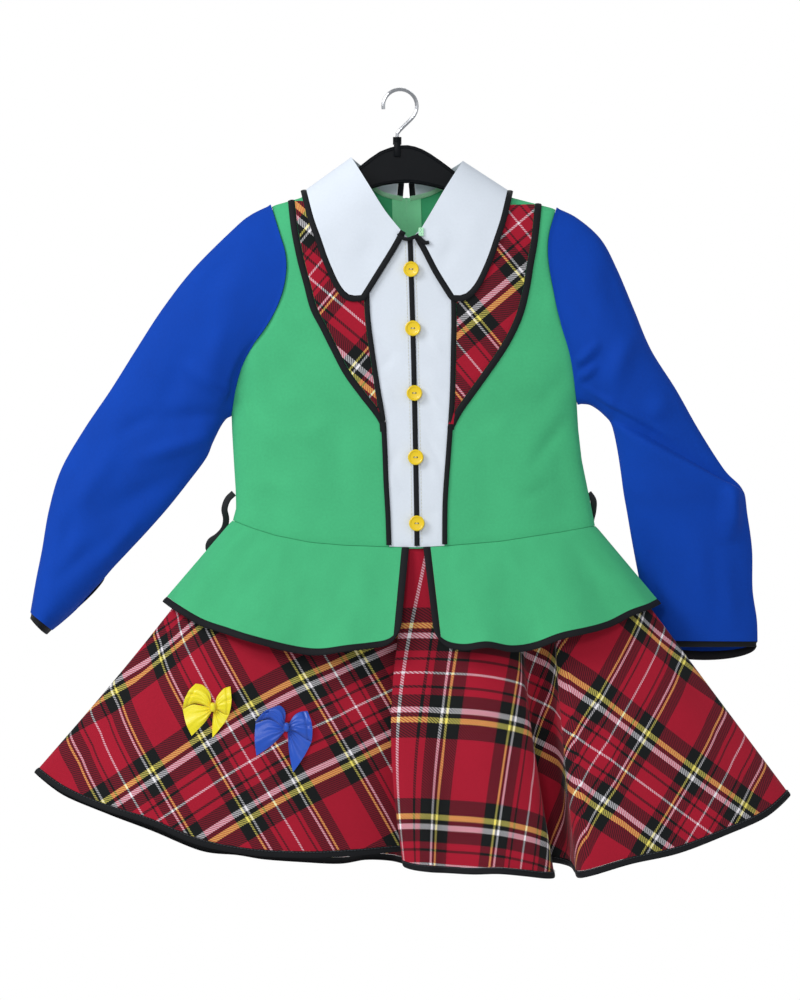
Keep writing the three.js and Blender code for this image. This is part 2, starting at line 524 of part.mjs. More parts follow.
function buildBodice() {
  const sides = [
    { name: 'left', neck: LEFT_NECK_POINT, seam: 1 },
    { name: 'right', neck: RIGHT_NECK_POINT, seam: -1 },
  ];
  for (const { name, neck, seam } of sides) {
    const outerEdge = bodySides[name];
    const plastron = shifted(plastrons[name], (seam * SEAM_GAP) / 2);
    const shoulderTip = outerEdge(1);
    const shoulder = (share) => {
      const x = THREE.MathUtils.lerp(shoulderTip.x, neck.x, share);
      return new THREE.Vector2(x, valueAt(SHOULDER_LINE, 'x', 'z', x));
    };
    const plastronTop = plastron(1);
    const neckLine = straight(new THREE.Vector2(neck.x, neck.z), plastronTop);
    const front = filled(
      outerEdge,
      plastron,
      waistBetween(outerEdge(0).x, plastron(0).x),
      joined(shoulder, neckLine, SHOULDER_SHARE_OF_FRONT),
    );
    add(`bodice_front_${name}`, wall(onFlatPanel(-1, front), 8, BODY_ROWS, -CLOTH, 0), COLOUR.green);

    const zipSide = shifted(centreBack, seam * (ZIP_WIDTH / 2 + SEAM_GAP));
    const backNeck = curveThrough([
      neck,
      { x: (neck.x + zipSide(1).x) / 2 + seam * 2, z: -92 },
      { x: zipSide(1).x, z: zipSide(1).y },
    ]);
    const back = filled(
      outerEdge,
      zipSide,
      waistBetween(outerEdge(0).x, zipSide(0).x),
      joined(shoulder, backNeck, SHOULDER_SHARE_OF_BACK),
    );
    add(`bodice_back_${name}`, wall(onFlatPanel(1, back), 8, BODY_ROWS, -CLOTH, 0), COLOUR.green);

    const shirtEdge = shifted(plastrons[name], (-seam * SEAM_GAP) / 2);
    const shirtCentre = shifted(centreFront, (seam * SEAM_GAP) / 2);
    const shirt = filled(
      shirtEdge,
      shirtCentre,
      waistBetween(shirtEdge(0).x, shirtCentre(0).x),
      straight(shirtEdge(1), shirtCentre(1)),
    );
    add(
      `shirt_front_${name}`,
      wall(onFlatPanel(-1, shirt), 3, BODY_ROWS, -SHIRT_CLOTH, 0),
      COLOUR.white,
    );
  }
}

// Flat band along a curve of the front view, lying on the bodice. It starts just past the
// curve's own end, so that it stays clear of the waist seam.
const BAND_START_SHARE = 0.004;

function band(side, curve, width, steps, inner, outer, start = BAND_START_SHARE) {
  const one = shifted(curve, width / 2);
  const other = shifted(curve, -width / 2);
  return wall((u, v) => {
    const share = THREE.MathUtils.lerp(start, 1, v);
    const spot = one(share).lerp(other(share), u);
    return onBody(side, spot.x, spot.y);
  }, 1, steps, inner, outer);
}

function buildFrontTrim() {
  const trimTop = SEAM_GAP + TRIM_CLOTH;
  for (const name of ['left', 'right']) {
    const geometry = band(-1, plastrons[name], TRIM_WIDTH, 22, SEAM_GAP, trimTop);
    add(`plastron_binding_${name}`, geometry, COLOUR.black);
  }
  add('placket_piping', band(-1, centreFront, TRIM_WIDTH, 18, SEAM_GAP, trimTop), COLOUR.black);
}

// Share of a curve that rises steadily at which it reaches a height
function shareAtHeight(curve, z) {
  let low = 0;
  let high = 1;
  for (let pass = 0; pass < 30; pass += 1) {
    const middle = (low + high) / 2;
    if (curve(middle).y < z) low = middle;
    else high = middle;
  }
  return (low + high) / 2;
}

function buildLapels() {
  const sides = [
    { name: 'left', rows: LEFT_LAPEL, inward: -1, tipZ: -296, topZ: -105 },
    { name: 'right', rows: RIGHT_LAPEL, inward: 1, tipZ: -299, topZ: -109 },
  ];
  for (const { name, rows, inward, tipZ, topZ } of sides) {
    const edge = curveThrough(rows);
    const seam = plastrons[name];
    const besideTrim = TRIM_WIDTH / 2 + SEAM_GAP;
    const innerEdge = shifted(seam, -inward * besideTrim);
    const outerEdge = shifted(edge, inward * (LAPEL_BINDING_WIDTH + SEAM_GAP));
    const alongEdge = (curve, top) => {
      const from = shareAtHeight(curve, tipZ);
      const to = shareAtHeight(curve, top);
      return (share) => curve(THREE.MathUtils.lerp(from, to, closeToShoulder(share)));
    };
    const inner = alongEdge(innerEdge, topZ);
    const outer = alongEdge(outerEdge, rows[rows.length - 1].z);
    const between = (u, v) => inner(v).clone().lerp(outer(v), u);
    add(
      `lapel_${name}`,
      wall(onFlatPanel(-1, between), 4, 16, SEAM_GAP, SEAM_GAP + LAPEL_CLOTH),
      COLOUR.tartan,
    );
    const middle = shifted(edge, (inward * LAPEL_BINDING_WIDTH) / 2);
    const clear = besideTrim + LAPEL_BINDING_WIDTH / 2;
    const bindingLine = (share) => {
      const spot = middle(closeToShoulder(share)).clone();
      const seamX = seam(shareAtHeight(seam, spot.y)).x;
      spot.x = inward < 0 ? Math.min(spot.x, seamX - clear) : Math.max(spot.x, seamX + clear);
      return spot;
    };
    const bindingTop = SEAM_GAP + LAPEL_CLOTH + 0.3;
    add(
      `lapel_binding_${name}`,
      band(-1, bindingLine, LAPEL_BINDING_WIDTH, 26, SEAM_GAP, bindingTop),
      COLOUR.black,
    );
  }
}

// Collar: one wall from the centre front over the shoulder to the centre back
const COLLAR_ROWS = 9;
const COLLAR_COLUMNS = 5;
const RIM_FRONT_STEPS = 9;
const RIM_OUTER_STEPS = 15;

function collarTopLine(collar) {
  const peak = collar.roll[collar.roll.length - 1];
  const outer = collar.outer[collar.outer.length - 1];
  const slope = (outer.z - peak.z) / (outer.x - peak.x);
  const reach = 120;
  return [
    { x: peak.x - reach, z: peak.z - reach * slope },
    { x: peak.x + reach, z: peak.z + reach * slope },
  ];
}

function onCollar(collar, side, spot) {
  return onBody(side, spot.x, spot.y, COLLAR_STANDS_OUT, collarTopLine(collar), 0);
}

function collarHalves(collar) {
  const roll = curveThrough(collar.roll);
  const outer = curveThrough(collar.outer);
  const overShoulder = (share) => straight(roll(1), outer(1))(share);
  const front = filled(roll, outer, curveThrough(collar.front), overShoulder);
  const backRoll = curveThrough(collar.backRoll);
  const backOuter = curveThrough(collar.backOuter);
  const back = filled(backRoll, backOuter, overShoulder, curveThrough(collar.backEnd));
  return { front, back };
}

// Round the collar once: from the centre front edge out to the tip, along and to the centre back
function collarRim(collar) {
  const front = curveThrough(collar.front);
  const outer = curveThrough(collar.outer);
  const backOuter = curveThrough(collar.backOuter);
  const backEnd = curveThrough(collar.backEnd);
  return [
    { side: -1, steps: RIM_FRONT_STEPS, curve: front },
    { side: -1, steps: RIM_OUTER_STEPS, curve: outer },
    { side: 1, steps: 12, curve: backOuter },
    { side: 1, steps: 6, curve: (share) => backEnd(1 - share) },
  ];
}

const towardsPeak = (share) => 1 - (1 - share) ** 1.5;

function buildCollars() {
  for (const collar of COLLARS) {
    const { front, back } = collarHalves(collar);
    const surface = (u, v, column, row) => {
      const isFront = row <= COLLAR_ROWS;
      const spot = isFront
        ? front(u, towardsPeak(row / COLLAR_ROWS))
        : back(u, 1 - towardsPeak((2 * COLLAR_ROWS - row) / COLLAR_ROWS));
      if (row === COLLAR_ROWS) return onShoulderTop(collar, spot);
      return onCollar(collar, isFront ? -1 : 1, spot);
    };
    const geometry = wall(surface, COLLAR_COLUMNS, 2 * COLLAR_ROWS, 0, COLLAR_CLOTH);
    add(`collar_${collar.name}`, geometry, COLOUR.white);
    const bindingGeometry = rimBand(collar);
    add(`collar_binding_${collar.name}`, bindingGeometry, COLOUR.black);
  }
}

function onShoulderTop(collar, spot) {
  const [from, to] = collarTopLine(collar);
  const along = new THREE.Vector2(to.x - from.x, to.z - from.z).normalize();
  const up = new THREE.Vector3(-along.y, 0, along.x);
  if (up.z < 0) up.negate();
  return { place: new THREE.Vector3(spot.x, 0, spot.y), out: up };
}

// Binding just outside the collar's rim, mitred where the rim turns
function rimBand(collar) {
  const rows = [];
  for (const { side, steps, curve } of collarRim(collar)) {
    for (let step = rows.length === 0 ? 0 : 1; step <= steps; step += 1) {
      rows.push({ side, spot: curve(step / steps) });
    }
  }
  const near = SEAM_GAP;
  const far = SEAM_GAP + COLLAR_BINDING_WIDTH;
  const last = rows.length - 1;
  const overShoulderRow = RIM_FRONT_STEPS + RIM_OUTER_STEPS;
  const outwards = rows.map((row, index) => {
    const before = rows[Math.max(0, index - 1)].spot;
    const after = rows[index === overShoulderRow ? index : Math.min(last, index + 1)].spot;
    const along = after.clone().sub(before).normalize();
    return new THREE.Vector2(along.y, -along.x).multiplyScalar(-collar.side * row.side);
  });
  return wall((u, v, column, row) => {
    const { side, spot } = rows[row];
    const outward = outwards[row];
    const away = near + (far - near) * u;
    const flat = spot.clone().addScaledVector(outward, away);
    return row === overShoulderRow ? onShoulderTop(collar, flat) : onCollar(collar, side, flat);
  }, 1, last, 0, COLLAR_CLOTH + 0.3);
}

// Sleeves: flattened tubes from the armhole ring to the cuff
function sleeveSection(rows, position) {
  const read = (key) => smoothValueAt(rows, key, position);
  return {
    outer: new THREE.Vector2(read('outX'), read('outZ')),
    inner: new THREE.Vector2(read('inX'), read('inZ')),
    swing: new THREE.Vector2(Math.abs(read('swingX')), read('swingZ')),
    midY: read('midY'),
    half: read('half'),
  };
}

function sleevePoint(sleeve, around, along) {
  const half = around * 2;
  const side = half <= 1 ? -1 : 1;
  const down = half <= 1 ? half : 2 - half;
  const section = sleeveSection(sleeve.rows, along);
  const armShare = 1 - towardsShoulder(1 - down);
  const roundShare = (1 - Math.cos(Math.PI * down)) / 2;
  const settled = THREE.MathUtils.smoothstep(along, 0, 0.22);
  const share = THREE.MathUtils.lerp(armShare, roundShare, settled);
  const chord = section.outer.clone().lerp(section.inner, share);
  const seamSpot = sleeve.armhole(towardsShoulder(1 - down));
  const first = sleeveSection(sleeve.rows, 0);
  const seamChord = first.outer.clone().lerp(first.inner, armShare);
  const fade = Math.max(0, 1 - along / 0.3) ** 2;
  chord.addScaledVector(seamSpot.clone().sub(seamChord), fade);
  const thickness = Math.sqrt(Math.max(0, 1 - (2 * share - 1) ** 2));
  if (side > 0) chord.addScaledVector(section.swing, thickness);
  const onSeam = bodyHalfDepth(seamSpot.x, seamSpot.y);
  const depth = THREE.MathUtils.lerp(section.half * thickness, onSeam, fade);
  return new THREE.Vector3(chord.x, section.midY + side * depth, chord.y);
}

function sleeveSurface(sleeve, from, to) {
  const step = 0.002;
  return (u, v) => {
    const along = from + (to - from) * (from === 0 ? v ** SLEEVE_CLOSER_AT_SEAM : v);
    const place = sleevePoint(sleeve, u, along);
    const across = sleevePoint(sleeve, (u + step) % 1, along)
      .sub(sleevePoint(sleeve, (u - step + 1) % 1, along));
    const lengthways = sleevePoint(sleeve, u, Math.min(1, along + step))
      .sub(sleevePoint(sleeve, u, Math.max(0, along - step)));
    if (along < 0.001) lengthways.set(-sleeve.turn, 0, 0);
    const out = across.cross(lengthways).normalize().multiplyScalar(sleeve.turn);
    return { place, out };
  };
}

const SLEEVES = [
  {
    name: 'left', rows: LEFT_SLEEVE, armhole: shifted(armholes.left, ARMHOLE_GAP),
    turn: 1, cuffGap: 3.2,
  },
  {
    name: 'right', rows: RIGHT_SLEEVE, armhole: shifted(armholes.right, -ARMHOLE_GAP),
    turn: -1, cuffGap: 0.9,
  },
];

function buildSleeves() {
  for (const sleeve of SLEEVES) {
    const cuffShare = 1 - CUFF_BINDING / SLEEVE_LENGTH;
    const gapShare = sleeve.cuffGap / SLEEVE_LENGTH;
    const around = 2 * SLEEVE_HALF_STEPS;
    const cloth = sleeveSurface(sleeve, 0, cuffShare - gapShare);
    add(`sleeve_${sleeve.name}`, wall(cloth, around, SLEEVE_RINGS, -CLOTH, 0, true), COLOUR.blue);
    const cuff = sleeveSurface(sleeve, cuffShare, 1);
    add(`cuff_binding_${sleeve.name}`, wall(cuff, around, 1, -CLOTH, 0.4, true), COLOUR.black);
  }
}

// Ring of places round the waist seam, as a share of the way round from the left side seam
function waistRing(around, inset) {
  const half = around * 2;
  const side = half <= 1 ? -1 : 1;
  const share = half <= 1 ? half : 2 - half;
  const x = THREE.MathUtils.lerp(WAIST[0].x, WAIST[WAIST.length - 1].x, (1 - Math.cos(Math.PI * share)) / 2);
  const z = valueAt(WAIST, 'x', 'z', x);
  const { place, out } = onBody(side, x, z);
  if (share === 0 || share === 1) place.setY(0);
  if (share === 0 || share === 1) out.setY(0).normalize();
  out.setZ(0).normalize();
  return place.addScaledVector(out, -inset).setZ(z - SEAM_GAP);
}

// Wall surface from a function that gives places, with the direction worked out from them
function faced(placeAt, turn) {
  const step = 0.002;
  return (u, v) => {
    const across = placeAt(u + step, v).sub(placeAt(u - step, v));
    const down = placeAt(u, v + step).sub(placeAt(u, v - step));
    return { place: placeAt(u, v), out: across.cross(down).normalize().multiplyScalar(turn) };
  };
}

// Skirt: straight lines from the waist seam to the folded hem
const skirtHem = new THREE.CatmullRomCurve3(
  SKIRT_HEM.map((row) => new THREE.Vector3(row.x, row.y, row.z)), true, 'catmullrom', 0.5,
);
const skirtBow = SKIRT_HEM.map((row) => row.bow);

// Waist shares of the hem rows, so that cloth between two rows is as wide as its hem there
const skirtWaistShares = (() => {
  const lengths = [0];
  SKIRT_HEM.forEach((row, index) => {
    const next = SKIRT_HEM[(index + 1) % SKIRT_HEM.length];
    const gap = Math.hypot(next.x - row.x, next.y - row.y, next.z - row.z);
    lengths.push(lengths[index] + gap);
  });
  const front = lengths[SKIRT_SIDE_ROW];
  const all = lengths[lengths.length - 1];
  return lengths.map((length, index) => (index <= SKIRT_SIDE_ROW
    ? (0.5 * length) / front
    : 0.5 + (0.5 * (length - front)) / (all - front)));
})();

function skirtPlace(row, down) {
  const count = SKIRT_HEM.length;
  const wrapped = ((row % count) + count) % count;
  const before = Math.floor(wrapped);
  const part = wrapped - before;
  const waistShare = THREE.MathUtils.lerp(skirtWaistShares[before], skirtWaistShares[before + 1], part);
  const bow = THREE.MathUtils.lerp(skirtBow[before], skirtBow[(before + 1) % count], part);
  const top = waistRing(waistShare, SKIRT_LAYS_INSIDE);
  top.z -= SKIRT_STARTS_BELOW;
  const place = top.lerp(skirtHem.getPoint(wrapped / count), down);
  place.x += bow * Math.sin(Math.PI * THREE.MathUtils.clamp(down, 0, 1));
  return place;
}

const SKIRT_LENGTH = 300;
const SKIRT_HEM_SHARE = 1 - HEM_BINDING_WIDTH / SKIRT_LENGTH;
const SKIRT_COLUMNS_PER_ROW = 2;

function buildSkirt() {
  const surface = faced(skirtPlace, 1);
  const panel = (fromRow, toRow, seamSide) => {
    const columns = (toRow - fromRow) * SKIRT_COLUMNS_PER_ROW;
    return wall((u, v, column) => {
      const spot = surface(THREE.MathUtils.lerp(fromRow, toRow, u), v * SKIRT_HEM_SHARE);
      if (v === 0) spot.out.setZ(0).normalize();
      if (column === 0 || column === columns) {
        spot.place.y += (seamSide * SEAM_GAP) / 2;
        spot.out.setY(0).normalize();
      }
      return spot;
    }, columns, SKIRT_RINGS, -SKIRT_CLOTH, 0);
  };
  add('skirt_front', panel(0, SKIRT_SIDE_ROW, -1), COLOUR.tartan);
  add('skirt_back', panel(SKIRT_SIDE_ROW, SKIRT_HEM.length, 1), COLOUR.tartan);
  const gap = SEAM_GAP / SKIRT_LENGTH;
  const columns = SKIRT_HEM.length * SKIRT_COLUMNS_PER_ROW;
  add('skirt_hem_binding', wall((u, v) => surface(
    u * SKIRT_HEM.length,
    THREE.MathUtils.lerp(SKIRT_HEM_SHARE + gap, 1, v),
  ), columns, 1, -SKIRT_CLOTH - 0.3, 0.3, true), COLOUR.black);
}

// Peplum panels between the waist seam and their own hems
const EASES = {
  front_left: (share) => 1 - Math.cos((Math.PI * share) / 2),
  front_right: (share) => Math.sin((Math.PI * share) / 2),
  back: (share) => (1 - Math.cos(Math.PI * share)) / 2,
};

const PEPLUM_WAIST_EASE = 0.45;

function peplumPlace(hemRows, waistFrom, waistTo, side, ease) {
  const waistEase = (share) => THREE.MathUtils.lerp(share, ease(share), PEPLUM_WAIST_EASE);
  const hem = new THREE.CatmullRomCurve3(
    hemRows.map((row) => new THREE.Vector3(row.x, row.y, row.z)), false, 'catmullrom', 0.5,
  );
  hem.arcLengthDivisions = 300;
  return (u, v) => {
    const held = THREE.MathUtils.clamp(u, 0, 1);
    const x = THREE.MathUtils.lerp(waistFrom, waistTo, waistEase(held));
    const waistZ = valueAt(WAIST, 'x', 'z', x);
    const spot = onBody(side, x, waistZ).place.setZ(waistZ - SEAM_GAP);
    const hemSpot = hem.getPointAt(held);
    spot.lerp(hemSpot, v);
    spot.x += (u - held) * (waistTo - waistFrom);
    return spot;
  };
}

const PEPLUM_LENGTH = 100;
const PEPLUM_LEAST_LENGTH = 90;
const PEPLUM_FRONT_WIDTH = 190;
const PEPLUM_LEAST_WIDTH = 170;
const PEPLUM_OPENING_STEPS = 8;

function buildPeplum() {
  const ends = [WAIST[0].x, WAIST[WAIST.length - 1].x];
  const panels = [
    { name: 'front_left', rows: PEPLUM_LEFT_HEM, from: ends[0], to: PEPLUM_FRONT_LEFT_X, open: 'end' },
    { name: 'front_right', rows: PEPLUM_RIGHT_HEM, from: PEPLUM_FRONT_RIGHT_X, to: ends[1], open: 'start' },
    { name: 'back', rows: PEPLUM_BACK_HEM, from: ends[1], to: ends[0], open: 'none' },
  ];
  const hemShare = 1 - HEM_BINDING_WIDTH / PEPLUM_LENGTH;
  const openShare = HEM_BINDING_WIDTH / PEPLUM_FRONT_WIDTH;
  const gapDown = SEAM_GAP / PEPLUM_LEAST_LENGTH;
  const gapAcross = SEAM_GAP / PEPLUM_LEAST_WIDTH;
  for (const { name, rows, from, to, open } of panels) {
    const side = name === 'back' ? 1 : -1;
    const facing = faced(peplumPlace(rows, from, to, side, EASES[name]), 1);
    const surface = (u, v) => {
      const spot = facing(u, v);
      if (v === 0) spot.out.setZ(0).normalize();
      return spot;
    };
    const first = open === 'start' ? openShare : 0;
    const last = open === 'end' ? 1 - openShare : 1;
    const columns = name === 'back' ? 22 : 12;
    add(`peplum_${name}`, wall((u, v) => surface(
      THREE.MathUtils.lerp(first, last, u),
      v * hemShare,
    ), columns, 4, -CLOTH, 0), COLOUR.green);

    // Round the free edges in one mitred strip: along the hem, then up the front opening
    const path = [];
    for (let step = 0; step <= columns; step += 1) {
      const u = THREE.MathUtils.lerp(first, last, step / columns);
      path.push({ near: [u, hemShare + gapDown], far: [u, 1] });
    }
    if (open !== 'none') {
      const edge = open === 'end' ? 1 : 0;
      const nearEdge = open === 'end' ? last + gapAcross : first - gapAcross;
      const corner = { near: [nearEdge, hemShare + gapDown], far: [edge, 1] };
      const upwards = [corner];
      for (let step = 1; step <= PEPLUM_OPENING_STEPS; step += 1) {
        const v = hemShare * (1 - step / PEPLUM_OPENING_STEPS);
        upwards.push({ near: [nearEdge, v], far: [edge, v] });
      }
      if (open === 'end') {
        path.pop();
        path.push(...upwards);
      } else {
        path.shift();
        path.unshift(...upwards.reverse());
      }
    }
    add(`peplum_binding_${name}`, wall((u, v, column, row) => {
      const { near, far } = path[row];
      const nearSpot = surface(near[0], near[1]);
      const farSpot = surface(far[0], far[1]);
      nearSpot.place.lerp(farSpot.place, u);
      return nearSpot;
    }, 1, path.length - 1, -CLOTH - 0.3, 0.3), COLOUR.black);
  }
}

// Place of a part that sits on the bodice, facing straight out
function setOnBody(mesh, x, z, offset) {
  const { place, out } = onBody(-1, x, z);
  mesh.position.copy(place.addScaledVector(out, offset));
  mesh.quaternion.setFromUnitVectors(new THREE.Vector3(0, 0, 1), out);
}

function ringOfPoints(centreX, radius, count) {
  return Array.from({ length: count }, (unused, index) => {
    const angle = (2 * Math.PI * index) / count;
    return new THREE.Vector2(centreX + radius * Math.cos(angle), radius * Math.sin(angle));
  });
}

function buttonGeometry() {
  const edge = 0.6;
  const disc = new THREE.Shape(ringOfPoints(0, BUTTON_RADIUS - edge, 18));
  for (const direction of [-1, 1]) {
    const centre = (direction * BUTTON_HOLE_SPACING) / 2;
    disc.holes.push(new THREE.Path(ringOfPoints(centre, BUTTON_HOLE_RADIUS, 6)));
  }
  return new THREE.ExtrudeGeometry(disc, {
    depth: BUTTON_THICKNESS - 2 * edge, bevelEnabled: true, bevelThickness: edge,
    bevelSize: edge, bevelSegments: 1, steps: 1,
  });
}

function buildButtons() {
  const above = SEAM_GAP + TRIM_CLOTH + SEAM_GAP + 0.6;
  BUTTON_HEIGHTS.forEach((z, index) => {
    const x = centreFront(shareAtHeight(centreFront, z)).x;
    const button = add(`button_${index + 1}`, buttonGeometry(), COLOUR.yellow, 0.35);
    setOnBody(button, x, z, above);
  });
}

// Place on the outside of the left skirt panel under a spot of the front view
function onLeftSkirt(x, z) {
  let row = 3;
  let down = 0.5;
  for (let pass = 0; pass < 12; pass += 1) {
    const step = 0.001;
    const here = skirtPlace(row, down);
    const alongRow = skirtPlace(row + step, down).sub(here).divideScalar(step);
    const alongDown = skirtPlace(row, down + step).sub(here).divideScalar(step);
    const [missX, missZ] = [x - here.x, z - here.z];
    const scale = alongRow.x * alongDown.z - alongRow.z * alongDown.x;
    row += (missX * alongDown.z - missZ * alongDown.x) / scale;
    down += (alongRow.x * missZ - alongRow.z * missX) / scale;
  }
  return faced(skirtPlace, 1)(row, down);
}

function buildBows() {
  for (const bow of BOWS) {
    for (const name of ['left', 'right']) {
      const upper = curveThrough(bow[name].upper);
      const lower = curveThrough(bow[name].lower);
      const surface = (u, v) => {
        const flat = upper(v).clone().lerp(lower(v), u);
        const { place, out } = onLeftSkirt(flat.x, flat.y);
        const puff = BOW_PUFF * Math.sin(Math.PI * u) * v ** 0.8 * (1.2 - 0.6 * v);
        return { place: place.addScaledVector(out, BOW_CLEARANCE + puff), out };
      };
      const geometry = wall(surface, 4, 6, 0, RIBBON);
      add(`bow_${bow.name}_${name}`, geometry, bow.colour, 0.4);
    }
    const { place, out } = onLeftSkirt(bow.knot.x, bow.knot.z);
    const shape = new THREE.CapsuleGeometry(KNOT_RADIUS, KNOT_LENGTH, 2, 8).rotateX(Math.PI / 2);
    const knot = add(`bow_${bow.name}_knot`, shape, bow.colour, 0.4);
    knot.position.copy(place.addScaledVector(out, bow.knot.standsOff));
  }
}

function buildTies() {
  const section = new THREE.Shape();
  section.absellipse(0, 0, TIE_WIDTH / 2, TIE_THICKNESS / 2, 0, Math.PI * 2, false, 0);
  for (const [name, rows] of [['left', LEFT_TIE], ['right', RIGHT_TIE]]) {
    const route = new THREE.CatmullRomCurve3(rows.map((row) => new THREE.Vector3(row.x, row.y, row.z)));
    const geometry = new THREE.ExtrudeGeometry(section, {
      steps: 18, curveSegments: 4, bevelEnabled: false, extrudePath: route,
    });
    add(`waist_tie_${name}`, geometry, COLOUR.black);
  }
}

function buildHanger() {
  const outline = new THREE.Shape();
  const top = new THREE.SplineCurve(HANGER_TOP.map((row) => new THREE.Vector2(row.x, row.z)));
  const bottom = new THREE.SplineCurve(HANGER_BOTTOM.map((row) => new THREE.Vector2(row.x, row.z)));
  const edge = [...top.getPoints(26), ...bottom.getPoints(16)];
  outline.setFromPoints(edge);
  const body = new THREE.ExtrudeGeometry(outline, {
    depth: HANGER_FLAT - 2 * HANGER_BEVEL, bevelEnabled: true, bevelThickness: HANGER_BEVEL,
    bevelSize: HANGER_BEVEL, bevelOffset: -HANGER_BEVEL, bevelSegments: 1, steps: 1,
  });
  body.rotateX(Math.PI / 2);
  body.translate(0, HANGER_FLAT / 2 - HANGER_BEVEL, 0);
  add('hanger_body', body, COLOUR.plastic, 0.4);

  const socketBottom = HANGER_TOP[6].z + SEAM_GAP + 0.4;
  const socket = new THREE.CylinderGeometry(HOOK_SOCKET_RADIUS, HOOK_SOCKET_RADIUS, HOOK_SOCKET_HEIGHT, 16);
  socket.rotateX(Math.PI / 2);
  socket.translate(HOOK_X, 0, socketBottom + HOOK_SOCKET_HEIGHT / 2);
  add('hook_socket', socket, COLOUR.plastic, 0.4);

  const bend = HOOK_INSIDE_RADIUS + HOOK_WIRE_RADIUS;
  const middle = new THREE.Vector3(0, 0, -HOOK_INSIDE_RADIUS);
  const spots = [
    new THREE.Vector3(HOOK_X, 0, socketBottom + HOOK_SOCKET_HEIGHT + SEAM_GAP),
    new THREE.Vector3(HOOK_X, 0, socketBottom + HOOK_SOCKET_HEIGHT + 3),
  ];
  for (let step = 0; step <= 12; step += 1) {
    const degrees = THREE.MathUtils.lerp(HOOK_START_ANGLE, HOOK_END_ANGLE, step / 12);
    const angle = THREE.MathUtils.degToRad(degrees);
    const arm = new THREE.Vector3(Math.cos(angle), 0, Math.sin(angle)).multiplyScalar(bend);
    spots.push(middle.clone().add(arm));
  }
  const wire = new THREE.Shape();
  wire.absarc(0, 0, HOOK_WIRE_RADIUS, 0, Math.PI * 2, false);
  const hook = new THREE.ExtrudeGeometry(wire, {
    steps: 27, curveSegments: 4, bevelEnabled: false, extrudePath: new THREE.CatmullRomCurve3(spots),
  });
  add('hanger_hook', hook, COLOUR.metal, 0.3, 0.8);
}

// Joins closed geometries into one
const wasm = await Module();
wasm.setup();

function joinedSolid(geometries) {
  const solids = geometries.map((geometry) => {
    geometry.deleteAttribute('normal');
    geometry.deleteAttribute('uv');
    const merged = mergeVertices(geometry, 1e-4);
    return new wasm.Manifold(new wasm.Mesh({
      numProp: 3,
      vertProperties: new Float32Array(merged.attributes.position.array),
      triVerts: new Uint32Array(merged.index.array),
    }));
  });
  const mesh = solids.reduce((whole, next) => whole.add(next)).getMesh();
  const geometry = new THREE.BufferGeometry();
  geometry.setAttribute('position', new THREE.Float32BufferAttribute(mesh.vertProperties, 3));
  geometry.setIndex(Array.from(mesh.triVerts));
  geometry.computeVertexNormals();
  return geometry;
}

function buildZip() {
  const teeth = band(1, centreBack, ZIP_WIDTH, BODY_ROWS, -CLOTH, ZIP_OUTSIDE);
  add('zip_teeth', teeth, COLOUR.green, 0.6);

  const pinZ = SLIDER.topZ - SLIDER.cheekLength / 2;
  const x = centreBack(shareAtHeight(centreBack, pinZ)).x;
  const surfaceY = onBody(1, x, pinZ).place.y;
  const baseY = surfaceY + SEAM_GAP;
  const pinY = baseY + SLIDER.base + PIN_ABOVE_BASE;
  const base = new THREE.BoxGeometry(SLIDER.width, SLIDER.base, SLIDER.length);
  base.translate(x, baseY + SLIDER.base / 2, SLIDER.topZ - SLIDER.length / 2);
  const parts = [base];
  const cheekRise = PIN_ABOVE_BASE + 2 * PIN_RADIUS;
  for (const direction of [-1, 1]) {
    const cheek = new THREE.BoxGeometry(SLIDER.cheek, cheekRise + 0.5, SLIDER.cheekLength);
    cheek.translate(
      x + (direction * (SLIDER.width - SLIDER.cheek)) / 2,
      baseY + SLIDER.base + cheekRise / 2 - 0.25,
      pinZ,
    );
    parts.push(cheek);
  }
  const pin = new THREE.CylinderGeometry(PIN_RADIUS, PIN_RADIUS, SLIDER.width - SLIDER.cheek, 10);
  pin.rotateZ(Math.PI / 2);
  pin.translate(x, pinY, pinZ);
  parts.push(pin);
  add('zip_slider', joinedSolid(parts), COLOUR.metal, 0.4, 0.8);

  const half = PULL.thickness / 2;
  const startAngle = Math.asin(half / PULL.eyeRadius);
  const outline = new THREE.Shape();
  outline.moveTo(-half, -PULL.length);
  outline.lineTo(half, -PULL.length);
  outline.absarc(0, 0, PULL.eyeRadius, startAngle - Math.PI / 2, 1.5 * Math.PI - startAngle, false);
  outline.closePath();
  outline.holes.push(new THREE.Path(ringOfPoints(0, PULL.eyeHole, 12)));
  const pull = new THREE.ExtrudeGeometry(outline, {
    depth: PULL.width, bevelEnabled: false, curveSegments: 8, steps: 1,
  });
  pull.rotateX(Math.PI / 2);
  pull.rotateZ(Math.PI / 2);
  pull.translate(x - PULL.width / 2, pinY, pinZ);
  add('zip_pull', pull, COLOUR.metal, 0.4, 0.8);
}

buildBodice();
buildFrontTrim();
buildLapels();
buildCollars();
buildSleeves();
buildSkirt();
buildPeplum();
buildButtons();
buildBows();
buildTies();
buildHanger();
buildZip();

export default costume;
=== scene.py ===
# %% [markdown]
# # A clown costume on its hanger
#
# The costume is a child's jacket dress: a green bodice with a white shirt front, tartan
# lapels, a white collar, blue sleeves, a short green peplum and a flared tartan skirt.
# Cloth could be made here by simulation or by hand. The photograph fixes each fold, so
# this scene shapes every panel one by one: a grid is moved onto the form that the CAD
# solids have, and then gets its creases.

# %% Load the imported part and keep its box
import math

import bmesh
import bpy
import numpy as np
from mathutils import Matrix, Vector


